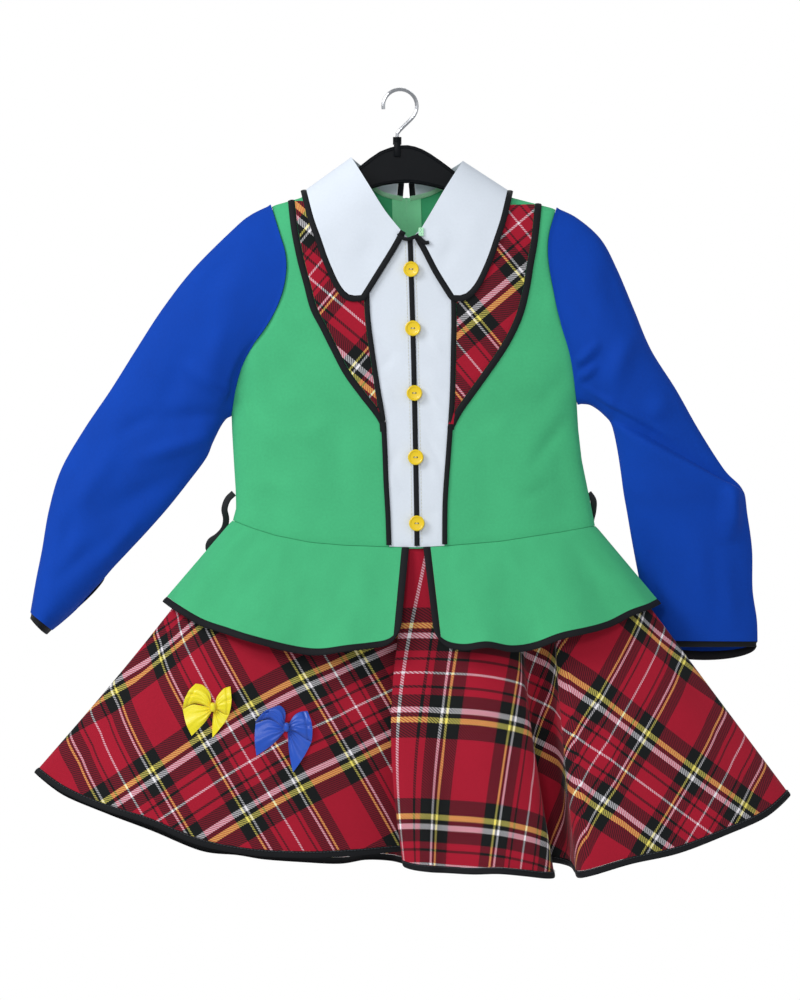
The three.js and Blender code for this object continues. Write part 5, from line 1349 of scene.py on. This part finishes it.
def draped_skirt(row, down):
    """Skirt places with softer swells between the folds, and their outward directions."""
    step = 0.01
    places = skirt_places(row, down)
    across = skirt_places(row + step, down) - skirt_places(row - step, down)
    lower = skirt_places(row, down + step) - skirt_places(row, down - step)
    out = unit(np.cross(lower, across))
    rise = np.zeros(places.shape[:-1])
    for middle, width, height, power in SKIRT_DRAPE:
        rise += height * MM * bell(row - middle, width) * np.clip(down, 0, 1) ** power
    side_fade = np.ones_like(rise)
    for seam_row in (0, SKIRT_SIDE_ROW, row_count):
        side_fade *= 1 - bell(row - seam_row, 0.7)
    return places + out * (rise * side_fade)[..., None], out


# %% Skirt pieces
COLUMNS_A_ROW = 7
for name, first_row, last_row, seam_side in (
    ("front", 0, SKIRT_SIDE_ROW, -1), ("back", SKIRT_SIDE_ROW, row_count, 1),
):
    columns = (last_row - first_row) * COLUMNS_A_ROW
    across, down = grid_shares(columns, 44)
    row = first_row + (last_row - first_row) * across
    down = down * SKIRT_HEM_SHARE
    places, out = draped_skirt(row, down)
    for edge in (0, -1):
        places[:, edge, 1] += seam_side * SEAM_GAP / 2
    places = rolled_edges(places, out, ("left", "right"), drop=0.5 * MM)
    cloth_uv = skirt_cut(row, down)
    piece = panel(f"skirt_cloth_{name}", places, out, cloth_uv, skirt_tartan, 1.0 * MM)
    finish_piece(piece, "tartan_cloth", f"skirt_{name}")

hem_row = np.linspace(0, row_count, row_count * COLUMNS_A_ROW + 1)
near, near_out = draped_skirt(hem_row, np.full_like(hem_row, SKIRT_HEM_SHARE + 0.0005))
far, far_out = draped_skirt(hem_row, np.ones_like(hem_row))
for line in (near, far, near_out, far_out):
    line[-1] = line[0]
hem_strip = crowned_strip("skirt_edge_binding", near, far, (near_out + far_out) / 2, 0.5 * MM,
                          binding_tape, crown=0.8 * MM, tube=True)
finish_piece(hem_strip, "black_binding", "skirt_hem_binding")

# %% [markdown]
# ## Peplum
#
# The peplum is a short flared overskirt in three green pieces, open at the front. It is
# made like the skirt, from lines between the waist seam and its own hem.

# %% Peplum tables
PEPLUM_LEFT_HEM = [
    (-221, -0.7, -475), (-209, -18, -483), (-188, -27, -495), (-165, -35, -503), (-143, -41, -511),
    (-121, -45, -516.5), (-98, -48, -521), (-76, -50, -523.5), (-54, -51, -521.5),
    (-32, -51, -518.5), (-10, -51, -514.5), (0, -50.5, -508.5),
]
PEPLUM_RIGHT_HEM = [
    (32, -54, -510.5), (42, -55, -516), (60, -57, -519.5), (82, -57, -517.5), (104, -55, -520.5),
    (127, -52, -517), (149, -49, -509.5), (172, -43, -505), (194, -35, -498), (216, -25, -487.5),
    (232, -16, -482), (243, -0.7, -477),
]
PEPLUM_BACK_HEM = [
    (243, 0.7, -477), (224, 22, -487), (190, 37, -500), (150, 49, -511), (110, 50, -517),
    (72, 56, -521), (36, 59, -522), (0, 54, -521), (-36, 48, -521), (-74, 54, -520),
    (-112, 53, -515), (-150, 44, -507), (-188, 30, -494), (-209, 19, -484), (-221, 0.7, -475),
]
# Flutes: share across, width, height in millimetres
PEPLUM_DRAPE = {
    "front_left": [(0.25, 0.07, -1.8), (0.42, 0.07, 1.8), (0.62, 0.08, -2.0), (0.8, 0.06, 1.5)],
    "front_right": [(0.2, 0.06, 1.5), (0.38, 0.07, -1.8), (0.6, 0.07, 2.0), (0.76, 0.06, -1.8)],
    "back": [(0.2, 0.05, 1.8), (0.34, 0.05, -1.6), (0.62, 0.05, 1.8), (0.8, 0.05, -1.6)],
}
PEPLUM_DRAPE_SCALE = 1.7
PEPLUM_WIDTH = 190 * MM
PEPLUM_LENGTH = 100 * MM
CORNER_RADIUS = 15 * MM


# %% Peplum form
def waist_eases(name, share):
    """How the lines of a peplum panel are spread along the waist."""
    eased = {
        "front_left": 1 - np.cos(np.pi * share / 2),
        "front_right": np.sin(np.pi * share / 2),
        "back": (1 - np.cos(np.pi * share)) / 2,
    }[name]
    return 0.45 * eased + 0.55 * share


def peplum_form(name, rows, waist_from, waist_to, side):
    """Places on a peplum panel, at shares across and down."""
    hem = smooth_curve(rows, ends="run on")

    def places_at(across, down):
        held = np.clip(across, 0, 1)
        x = (waist_from + (waist_to - waist_from) * waist_eases(name, held)) * MM
        z = read_table(WAIST, 0, 1, x)
        top = on_body(side, np.stack([x, z], axis=-1))[0]
        top[..., 2] = z - SEAM_GAP
        from_opening = {"front_left": 1 - held, "front_right": held}.get(name, 1 + 0 * held)
        short = np.maximum(0, CORNER_RADIUS - from_opening * PEPLUM_WIDTH)
        lifted = CORNER_RADIUS - np.sqrt(CORNER_RADIUS**2 - short**2)
        place = top + (hem(held) - top) * (down * (1 - lifted / PEPLUM_LENGTH))[..., None]
        place[..., 0] += (across - held) * (waist_to - waist_from) * MM
        return place

    def draped(across, down):
        step = 0.002
        place = places_at(across, down)
        sideways = places_at(across + step, down) - places_at(across - step, down)
        lower = places_at(across, down + step) - places_at(across, down - step)
        out = unit(np.cross(lower, sideways))
        rise = np.zeros(place.shape[:-1])
        for middle, width, height in PEPLUM_DRAPE[name]:
            rise += PEPLUM_DRAPE_SCALE * height * MM * bell(across - middle, width) * down**1.2
        return place + out * rise[..., None], out

    return draped


# %% Peplum pieces
for name, rows, waist_from, waist_to, side, opens in (
    ("front_left", PEPLUM_LEFT_HEM, WAIST[0][0], 8.5, -1, "end"),
    ("front_right", PEPLUM_RIGHT_HEM, 21.5, WAIST[-1][0], -1, "start"),
    ("back", PEPLUM_BACK_HEM, WAIST[-1][0], WAIST[0][0], 1, "none"),
):
    form = peplum_form(name, rows, waist_from, waist_to, side)
    hem_share = 1 - HEM_BINDING_WIDTH / PEPLUM_LENGTH
    open_share = HEM_BINDING_WIDTH / PEPLUM_WIDTH
    first = open_share if opens == "start" else 0.0
    last = 1 - open_share if opens == "end" else 1.0
    across, down = grid_shares(120 if name == "back" else 72, 36)
    across = first + (last - first) * across
    places, out = form(across, down * hem_share)
    flat = np.stack([across * 0.42, -down * 0.1], axis=-1)
    places = rolled_edges(places, out, ("bottom",), drop=0.5 * MM)
    piece = panel(f"peplum_cloth_{name}", places, out, flat, green_cloth, 1.2 * MM)
    finish_piece(piece, "green_cloth", f"peplum_{name}")

    steps = np.linspace(first, last, 140)
    path = [((step, hem_share + 0.002), (step, 1)) for step in steps]
    if opens != "none":
        edge = 1 if opens == "end" else 0
        near_edge = last + 0.001 if opens == "end" else first - 0.001
        line_end = last if opens == "end" else first
        rising = [((near_edge, hem_share + 0.002), (line_end + (edge - line_end) * turned_share, 1))
                  for turned_share in np.linspace(0.15, 1, 7)]
        rising += [((near_edge, hem_share * level), (edge, hem_share * level))
                   for level in np.linspace(0.99, 0.0, 60)]
        path = path[:-1] + rising if opens == "end" else rising[::-1] + path[1:]
    near_ways = np.array([near for near, far in path])
    far_ways = np.array([far for near, far in path])
    near, near_out = form(near_ways[:, 0], near_ways[:, 1])
    far, far_out = form(far_ways[:, 0], far_ways[:, 1])
    strip = crowned_strip(f"peplum_edge_binding_{name}", near, far, near_out, 0.6 * MM,
                          binding_tape, crown=0.8 * MM)
    finish_piece(strip, "black_binding", f"peplum_binding_{name}")

# %% [markdown]
# ## Buttons
#
# A button is turned from one profile with a raised rim and a dished middle. Two holes
# are cut with a boolean, and a short pale thread bridges them.

# %% Buttons
BUTTON_PROFILE = [
    (0, 0), (6.4, 0), (7.1, 0.5), (7.3, 1.3), (7.0, 2.2), (6.4, 2.6), (5.7, 2.45), (5.1, 1.9),
    (3.0, 1.7), (0, 1.65),
]
BUTTON_HEIGHTS = [-166.5, -221.3, -281.3, -340.8, -402]
HOLE_SPACING = 2.6
THREAD_ARCH = [
    (-1.4, 0, 0.5), (-1.2, 0, 1.75), (-0.6, 0, 2.1), (0.6, 0, 2.1), (1.2, 0, 1.75), (1.4, 0, 0.5),
]


def turned(name, profile, material, segments=48):
    """Solid turned about Z from (radius, height) pairs in millimetres."""
    work = bmesh.new()
    dots = [work.verts.new((radius * MM, 0, height * MM)) for radius, height in profile]
    edges = [work.edges.new(pair) for pair in zip(dots, dots[1:])]
    bmesh.ops.spin(work, geom=dots + edges, angle=math.tau, steps=segments,
                   axis=(0, 0, 1), cent=(0, 0, 0), use_duplicate=False)
    bmesh.ops.remove_doubles(work, verts=work.verts, dist=1e-6)
    bmesh.ops.recalc_face_normals(work, faces=work.faces)
    return make_object(name, work, material)


def moved_onto(piece, place, out):
    """Moves a piece's own mesh or curve so that its +Z points outwards at a place."""
    forward = Vector(out).normalized()
    across = Vector((1, 0, 0))
    across = (across - forward * across.dot(forward)).normalized()
    upwards = forward.cross(across)
    matrix = Matrix((across, upwards, forward)).transposed().to_4x4()
    matrix.translation = Vector(place)
    piece.data.transform(matrix)


def thread_line(name, points, radius, material):
    """Thin round thread through places in metres."""
    data = bpy.data.curves.new(name, "CURVE")
    data.dimensions = "3D"
    data.bevel_depth = radius
    data.bevel_resolution = 1
    line = data.splines.new("POLY")
    line.points.add(len(points) - 1)
    for point, place in zip(line.points, points):
        point.co = (*place, 1)
    data.materials.append(material)
    piece = bpy.data.objects.new(name, data)
    scene.collection.objects.link(piece)
    return piece


def hard_material(
    name, colour, roughness, metallic=0.0, grain=900.0, bump=0.05, coat=0.0, specular=0.5,
):
    """Moulded plastic or metal with a fine grain and slight handling marks."""
    material, tree, shader = new_material(
        name, Metallic=metallic, Coat_Weight=coat, Specular_IOR_Level=specular,
    )
    place = node(tree, "ShaderNodeTexCoord").outputs["Object"]
    fine = node(tree, "ShaderNodeTexNoise", {"Vector": place, "Scale": grain, "Detail": 3.0})
    broad = node(tree, "ShaderNodeTexNoise", {"Vector": place, "Scale": 60.0, "Detail": 2.0})
    tone = maths(tree, "MULTIPLY_ADD", broad.outputs["Fac"], 0.16, 0.92)
    rough = maths(tree, "MULTIPLY_ADD", broad.outputs["Fac"], 0.12, roughness - 0.06)
    tree.links.new(rough, shader.inputs["Roughness"])
    tint_and_relief(tree, shader, colour[:3], tone, bump, 0.3 * MM, fine.outputs["Fac"])
    return material


def thread_material(name, colour):
    """Dull thread or ribbon with a coarse grain."""
    return hard_material(name, colour, 0.75, grain=2600.0, bump=0.3)


button_plastic = hard_material("button_plastic", srgb(248, 212, 20), 0.32, coat=0.15)
black_plastic = hard_material("black_plastic", srgb(11, 14, 18), 0.36, grain=1400.0, bump=0.12,
                              specular=0.1)
hook_metal = hard_material("hook_metal", srgb(190, 192, 196), 0.22, metallic=1.0, grain=500.0)
zip_metal = hard_material("zip_metal", srgb(176, 178, 180), 0.3, metallic=1.0, grain=700.0)
mint_thread = thread_material("mint_thread", srgb(192, 250, 208))
pale_thread = thread_material("pale_thread", srgb(222, 222, 205))
dark_thread = thread_material("dark_thread", srgb(62, 68, 74))
green_thread = thread_material("green_thread", srgb(128, 208, 158))
ribbon_black = thread_material("black_ribbon", srgb(25, 28, 32))
for tie in waist_ties:
    tie.data.materials.append(ribbon_black)

for index, height in enumerate(BUTTON_HEIGHTS, 1):
    button = turned(f"button_face_{index}", BUTTON_PROFILE, button_plastic)
    for turn in (-1, 1):
        cutter = turned("hole_cutter", [(0, -1), (0.8, -1), (0.8, 4), (0, 4)], button_plastic, 16)
        cutter.data.transform(Matrix.Translation((turn * HOLE_SPACING / 2 * MM, 0, 0)))
        cut = button.modifiers.new("hole", "BOOLEAN")
        cut.operation = "DIFFERENCE"
        cut.object = cutter
        keep_modified_shape(button, corner=35)
        bpy.data.objects.remove(cutter)
    x = centre_front(share_at_height(centre_front, height * MM))[..., 0]
    spot = np.array([float(x), height * MM])
    place, out = on_creased_body(-1, spot, height=2.4 * MM)
    moved_onto(button, place, out)
    finish_piece(button, "yellow_button", f"button_{index}")
    arch = np.array(THREAD_ARCH) * MM
    thread = thread_line(f"button_thread_{index}", arch, 0.35 * MM, pale_thread)
    moved_onto(thread, place, out)
    finish_piece(thread, "white_cloth")

# %% [markdown]
# ## Satin bows
#
# Two small ribbon bows are sewn to the skirt. Each side is a puffed loop with pleats
# that run out from the knot, and a flat tail below it.

# %% Satin material
def satin(name, colour, dark):
    """Satin ribbon: a smooth weave with a strong soft shine along it, and painted shade where it
    turns away from the view.
    """
    material = plain_cloth(name, colour, roughness=0.34, threads=2600.0, unevenness=0.06,
                           sheen=0.3, bump=0.12)
    tree = material.node_tree
    shader = tree.nodes["Principled BSDF"]
    shader.inputs["Specular IOR Level"].default_value = 0.55
    shader.inputs["Anisotropic"].default_value = 0.4
    # Painted shade: where the ribbon turns away from the view, its colour goes over to the darker
    # one
    facing = node(tree, "ShaderNodeLayerWeight", {"Blend": 0.35}).outputs["Facing"]
    base = shader.inputs["Base Color"].links[0].from_socket
    shaded = node(tree, "ShaderNodeMix", {"Factor": facing}, data_type="RGBA")
    tree.links.new(base, shaded.inputs[6])
    shaded.inputs[7].default_value = dark
    tree.links.new(shaded.outputs[2], shader.inputs["Base Color"])
    return material


# The second colour of each satin is its painted shade, used where the ribbon turns away
yellow_satin = satin("yellow_satin", srgb(250, 236, 24), srgb(236, 190, 10))
blue_satin = satin("blue_satin", srgb(24, 84, 200), srgb(12, 34, 116))

# %% Bow tables: upper and lower edges from the knot outwards, in millimetres
BOWS = [
    {"name": "yellow", "finish": yellow_satin, "knot": (-172.6, -573), "lobes": {
        "left": {"loop": ([(-174.5, -570.5), (-175.5, -560), (-182, -552.6), (-188.8, -551)],
                          [(-174.5, -574.5), (-182, -571), (-191, -569.5), (-200.7, -574.5)]),
                 "tail": ([(-174.5, -573), (-183, -571.5), (-192, -570.5), (-200.7, -575)],
                          [(-174.2, -577), (-180, -586), (-186, -592.5), (-192.6, -599.2)])},
        "right": {"loop": ([(-170.8, -570.5), (-169, -563), (-163, -555.5), (-156.8, -553.4)],
                           [(-170.8, -574.5), (-166.5, -576.5), (-162, -579), (-158.1, -579.8)]),
                  "tail": ([(-170.8, -574.5), (-167, -576.5), (-162.5, -579), (-158.3, -579.8)],
                           [(-172.4, -576.5), (-173.3, -584), (-173.6, -592), (-173.4, -600.8)])}}},
    {"name": "blue", "finish": blue_satin, "knot": (-105, -591), "lobes": {
        "left": {"loop": ([(-107, -588), (-106, -577), (-111, -570.8), (-117.5, -572.3)],
                          [(-107, -592), (-113, -588), (-122, -583), (-133.6, -586.8)]),
                 "tail": ([(-107, -590.5), (-113, -587.5), (-122, -583.5), (-133.6, -587.5)],
                          [(-107, -595), (-113.5, -602.5), (-121.5, -609.5), (-132.8, -617.2)])},
        "right": {"loop": ([(-103, -588.5), (-98.5, -580.5), (-92.5, -576.6), (-85.8, -575.7)],
                           [(-103, -593), (-96, -596), (-89, -600.5), (-81.8, -604)]),
                  "tail": ([(-103, -593), (-96, -596), (-89, -600.5), (-82, -604.4)],
                           [(-104, -595.5), (-103.4, -607), (-101.6, -620), (-99, -632.4)])}}},
]
BOW_PUFFS = {"loop": 6.2, "tail": 1.9}
KNOT_PROFILE = [
    (0, -4.4), (1.6, -4.1), (2.6, -2.8), (2.9, -1), (2.7, 0), (2.9, 1), (2.6, 2.8), (1.6, 4.1),
    (0, 4.4),
]


# %% Bows
def on_left_skirt(flat):
    """Places on the outside of the left skirt panel under spots of the front view."""
    row, down = np.full(flat.shape[:-1], 3.0), np.full(flat.shape[:-1], 0.5)
    step = 0.001
    for _ in range(12):
        here = skirt_places(row, down)
        along_row = (skirt_places(row + step, down) - here) / step
        along_down = (skirt_places(row, down + step) - here) / step
        miss_x, miss_z = flat[..., 0] - here[..., 0], flat[..., 1] - here[..., 2]
        scale = along_row[..., 0] * along_down[..., 2] - along_row[..., 2] * along_down[..., 0]
        row = row + (miss_x * along_down[..., 2] - miss_z * along_down[..., 0]) / scale
        down = down + (along_row[..., 0] * miss_z - along_row[..., 2] * miss_x) / scale
    return draped_skirt(row, down)


def bow_part(bow, side, kind, upper, lower):
    """Loop or tail of a bow, gathered at the knot and puffed away from it."""
    upper_edge, lower_edge = smooth_curve(upper), smooth_curve(lower)
    across, outwards = grid_shares(40, 40)
    flat = upper_edge(outwards) * (1 - across[..., None]) + lower_edge(outwards) * across[..., None]
    away = unit(flat - np.array(bow["knot"]) * MM)
    bulge = 2.2 * MM if kind == "loop" else 1.2 * MM
    flat = flat + away * (bulge * np.sin(np.pi * across) * outwards**3)[..., None]
    place, out = on_left_skirt(flat)
    arch = np.sin(np.pi * across) ** 0.8
    rise = BOW_PUFFS[kind] * arch * outwards**0.6 * (1.15 - 0.45 * outwards)
    rise += 0.9 * np.cos(7 * np.pi * across) * np.exp(-2.4 * outwards) * np.minimum(1, 6 * outwards)
    if kind == "loop":
        rise += 1.2 - 0.9 * bell(outwards - 0.84, 0.05)
        rise -= 1.5 * bell(across - 0.62 + 0.12 * outwards, 0.06) * outwards**0.5
    else:
        rise += 0.8 + 0.6 * np.sin(3.2 * np.pi * across + 2 * outwards) * outwards
    place = place + out * (rise * MM)[..., None]
    cloth = np.stack([across * 0.03, outwards * 0.03], axis=-1)
    return panel(f"bow_{bow['name']}_{kind}_{side}", place, out, cloth, bow["finish"], 0.5 * MM)


for bow in BOWS:
    for side, parts in bow["lobes"].items():
        for kind, (upper, lower) in parts.items():
            piece = bow_part(bow, side, kind, upper, lower)
            finish_piece(piece, f"{bow['name']}_satin", f"bow_{bow['name']}_{side}")
    place, out = on_left_skirt(np.array(bow["knot"]) * MM)
    knot = turned(f"bow_{bow['name']}_centre", KNOT_PROFILE, bow["finish"], 24)
    uv = knot.data.uv_layers.new(name="cloth")
    for loop in knot.data.loops:
        corner = knot.data.vertices[loop.vertex_index].co
        uv.data[loop.index].uv = (math.atan2(corner.y, corner.x) * 0.003, corner.z)
    moved_onto(knot, place + out * 4.2 * MM, (0, 0, 1))
    finish_piece(knot, f"{bow['name']}_satin", f"bow_{bow['name']}_knot")

# %% [markdown]
# ## Hanger
#
# The hanger's CAD shapes are right as they are, so they keep them and only get their
# materials. Two moulded beads run just inside its edges, as thin curves on its front.

# %% Hanger
for cad_name, finish in (
    ("hanger_body", black_plastic), ("hook_socket", black_plastic), ("hanger_hook", hook_metal),
    ("zip_slider", zip_metal), ("zip_pull", zip_metal),
):
    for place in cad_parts[cad_name].material_slots:
        place.material = finish

HANGER_TOP = [
    (-112, -110), (-93, -103.5), (-70, -90.6), (-46, -75.8), (-36, -68.6), (-18.6, -56), (0, -50.4),
    (14, -51.5), (28, -58), (46, -70.8), (58, -80.2), (80, -92.6), (103, -102.6), (134, -111.5),
]
HANGER_BOTTOM = [
    (134, -119), (98, -112.5), (68, -103), (44, -93), (28, -88.6), (8, -85.5), (-12, -87),
    (-28, -91.5), (-51, -100), (-84, -111), (-112, -118),
]
BEAD_INSET = 2.6 * MM
BEAD_FRONT = -2.45 * MM
for name, rows in (("top", HANGER_TOP), ("bottom", HANGER_BOTTOM)):
    bead = beside(smooth_curve(rows), -BEAD_INSET)(np.linspace(0.06, 0.94, 120))
    line = [(x, BEAD_FRONT, z) for x, z in bead]
    piece = thread_line(f"hanger_bead_{name}", line, 0.75 * MM, black_plastic)
    finish_piece(piece, "black_plastic")

# A small moulded boss on the crest holds the foot of the hook's socket
boss = bmesh.new()
bmesh.ops.create_cube(boss, size=1)
bmesh.ops.scale(boss, vec=(6.4 * MM, 8.6 * MM, 15 * MM), verts=boss.verts)
bmesh.ops.bevel(boss, geom=list(boss.edges), offset=1.3 * MM, segments=3, affect="EDGES",
                profile=0.5, material=-1)
bmesh.ops.translate(boss, vec=(-2.6 * MM, 0, -54 * MM), verts=boss.verts)
finish_piece(make_object("hanger_boss", boss, black_plastic), "black_plastic")

# %% [markdown]
# ## Zip
#
# A nylon coil zip closes the back. Its coil is one long row of short bars across the
# seam, and its two tapes lie behind the seam, where they show inside the neck.

# %% Zip coil and tapes
def zip_place(height, across, rise):
    """Place beside the middle of the zip, at a height in metres."""
    middle = centre_back(share_at_height(centre_back, height))
    flat = np.stack([middle[..., 0] + across, middle[..., 1]], axis=-1)
    place, out = on_creased_body(1, flat)
    return place + out * np.asarray(rise)[..., None], out


ZIP_TOP, ZIP_BOTTOM = -0.0955, -0.402
TAPE_TOP = -0.0962
COIL_PITCH = 1.5 * MM
COIL_SIZE = Matrix.Diagonal((2.6 * MM, 0.9 * MM, 0.75 * MM, 1))
teeth = bmesh.new()
teeth.loops.layers.uv.new("cloth")
for index in range(int((ZIP_TOP - ZIP_BOTTOM) / COIL_PITCH)):
    height = np.array(ZIP_BOTTOM + (index + 0.5) * COIL_PITCH)
    place, out = zip_place(height, 0.0, -0.75 * MM)
    tooth = bmesh.ops.create_cube(teeth, size=1)
    matrix = Matrix.Translation(Vector(place)) @ COIL_SIZE
    bmesh.ops.transform(teeth, matrix=matrix, verts=tooth["verts"])
bmesh.ops.bevel(teeth, geom=list(teeth.edges), offset=0.22 * MM, segments=2, affect="EDGES",
                profile=0.5, material=-1)
coil = make_object("zip_coil_row", teeth, green_cloth)
finish_piece(coil, "zip_coil", "zip_teeth")

for name, turn in (("left", -1), ("right", 1)):
    heights = np.linspace(ZIP_BOTTOM - 0.004, TAPE_TOP, 80)
    near, far = (zip_place(heights, turn * away, -1.9 * MM)[0] for away in (0.05 * MM, 13.5 * MM))
    out = zip_place(heights, 0.0, 0.0)[1]
    tape = crowned_strip(f"zip_tape_{name}", near, far, -out, 0.15 * MM, zip_tape_cloth,
                         crown=0.1 * MM)
    finish_piece(tape, "zip_coil")

# %% [markdown]
# ## Stitches and loose ends
#
# Seams show as rows of short stitches. A row is one mesh of many small bars that follow
# a line on the cloth. The back neckline is serged, which leaves a row of pale loops.


# %% Stitch rows
STITCH_LENGTH = 2.2 * MM
STITCH_GAP = 1.0 * MM
STITCH_WIDTH = 0.45 * MM
STITCH_HEIGHT = 0.3 * MM


def stitch_row(name, places, out, material, slot):
    """Row of short stitches along places, standing slightly out of the cloth."""
    along = running_length(places)
    pitch = STITCH_LENGTH + STITCH_GAP
    work = bmesh.new()
    for start in np.arange(pitch / 2, along[-1] - pitch, pitch):
        ends = [np.array([np.interp(spot, along, axis) for axis in places.T])
                for spot in (start, start + STITCH_LENGTH)]
        normal = Vector([float(np.interp(start, along, axis)) for axis in out.T]).normalized()
        run = Vector(ends[1] - ends[0])
        if run.length < 1e-6:
            continue
        run_way = run.normalized()
        side_way = normal.cross(run_way).normalized()
        bar_sides = (run_way * STITCH_LENGTH, side_way * STITCH_WIDTH, normal * STITCH_HEIGHT)
        matrix = Matrix(bar_sides).transposed().to_4x4()
        matrix.translation = (Vector(ends[0]) + Vector(ends[1])) / 2
        bar = bmesh.ops.create_cube(work, size=1)
        bmesh.ops.transform(work, matrix=matrix, verts=bar["verts"])
    work.normal_update()
    finish_piece(make_object(name, work, material), slot)


for name, turn in (("left", 1), ("right", -1)):
    placket = beside(centre_front, turn * 4.6 * MM)
    place, out = on_creased_body(-1, placket(np.linspace(0.01, 1, 200)), height=0.05 * MM)
    stitch_row(f"placket_stitches_{name}", place, out, pale_thread, "white_cloth")
    zip_seam = beside(centre_back, -turn * 7.5 * MM)
    place, out = on_creased_body(1, zip_seam(np.linspace(0, 0.97, 220)), height=0.05 * MM)
    stitch_row(f"zip_stitches_{name}", place, out, green_thread, "green_cloth")

for name in ("left", "right"):
    start = CUFF_STARTS[name]
    places, out = sleeve_surface(name, 96, 2, start - 0.022, start - 0.014)[:2]
    stitch_row(f"cuff_stitches_{name}", places[1] + out[1] * 0.1 * MM, out[1], dark_thread,
               "blue_cloth")

rows = np.linspace(0.2, row_count - 0.2, 900)
places, out = draped_skirt(rows, np.full_like(rows, SKIRT_HEM_SHARE + 0.004))
stitch_row("hem_stitches", places + out * 0.95 * MM, out, dark_thread, "black_binding")

for name, seam in (("left", 1), ("right", -1)):
    shares = np.linspace(0.25, 0.97, 420)
    loops = np.arange(len(shares)) * 0.5
    place, out = on_creased_body(1, back_neck(name, seam)(shares))
    place[:, 2] += (-0.9 + 2.1 * np.sin(loops)) * MM
    place = place + out * (0.5 * np.cos(loops) - 2.3)[:, None] * MM
    piece = thread_line(f"neck_serging_{name}", place, 0.42 * MM, mint_thread)
    finish_piece(piece, "green_cloth")

# Front of the neck: the turned end of the collar's binding, and a pale loose thread
NECK_BINDING_END = [
    (-1.5, -133.5), (2, -137.5), (8, -138.8), (14.5, -136.4), (18.5, -137.8), (23, -142),
    (26.8, -141.6),
]
end_line = smooth_curve(NECK_BINDING_END)(np.linspace(0, 1, 40))
place, out = on_creased_body(-1, end_line, height=5.2 * MM)
piece = thread_line("neck_binding_end", place, 2.0 * MM, binding_tape)
finish_piece(piece, "black_binding")
turn_of = np.linspace(0, 5 * math.tau, 120)
tuft_x, tuft_z = 19.5 + 2.0 * np.cos(turn_of), -132 + 3.6 * np.sin(0.83 * turn_of)
tuft = np.stack([tuft_x * MM, tuft_z * MM], axis=-1)
place, out = on_creased_body(-1, tuft, height=5.0 * MM)
piece = thread_line("loose_thread", place, 0.5 * MM, mint_thread)
finish_piece(piece, "white_cloth")

# %% [markdown]
# ## Seam allowances
#
# Inside a seam lie the turned-back edges of the two panels. They also keep light from
# coming through the seam, so the armholes and the waist get narrow strips behind them.

# %% Seam allowances
ALLOWANCE_DEPTH = 2.3 * MM


def allowance(name, near, far, out):
    """Narrow strip of green cloth behind a seam, between two lines on its inside."""
    strip = crowned_strip(name, near, far, out, 0.2 * MM, green_cloth, crown=0.05 * MM)
    finish_piece(strip, "green_cloth")


for name, turn in (("left", 1), ("right", -1)):
    for side, label in ((-1, "front"), (1, "back")):
        share = np.linspace(0.01, 0.99, 90)
        lines = []
        for offset in (-6 * MM, 1.2 * MM):
            place, out = on_body(side, beside(armholes[name], turn * offset)(share))
            lines.append(place - out * ALLOWANCE_DEPTH)
        allowance(f"armhole_allowance_{name}_{label}", lines[0], lines[1], out)

around = np.linspace(0, 1, 260)
ring = waist_ring(around, ALLOWANCE_DEPTH)
ring_out = unit(waist_ring(around, 0) - ring)
allowance("waist_allowance", ring + (0, 0, 4 * MM), ring - (0, 0, 1.1 * MM), ring_out)
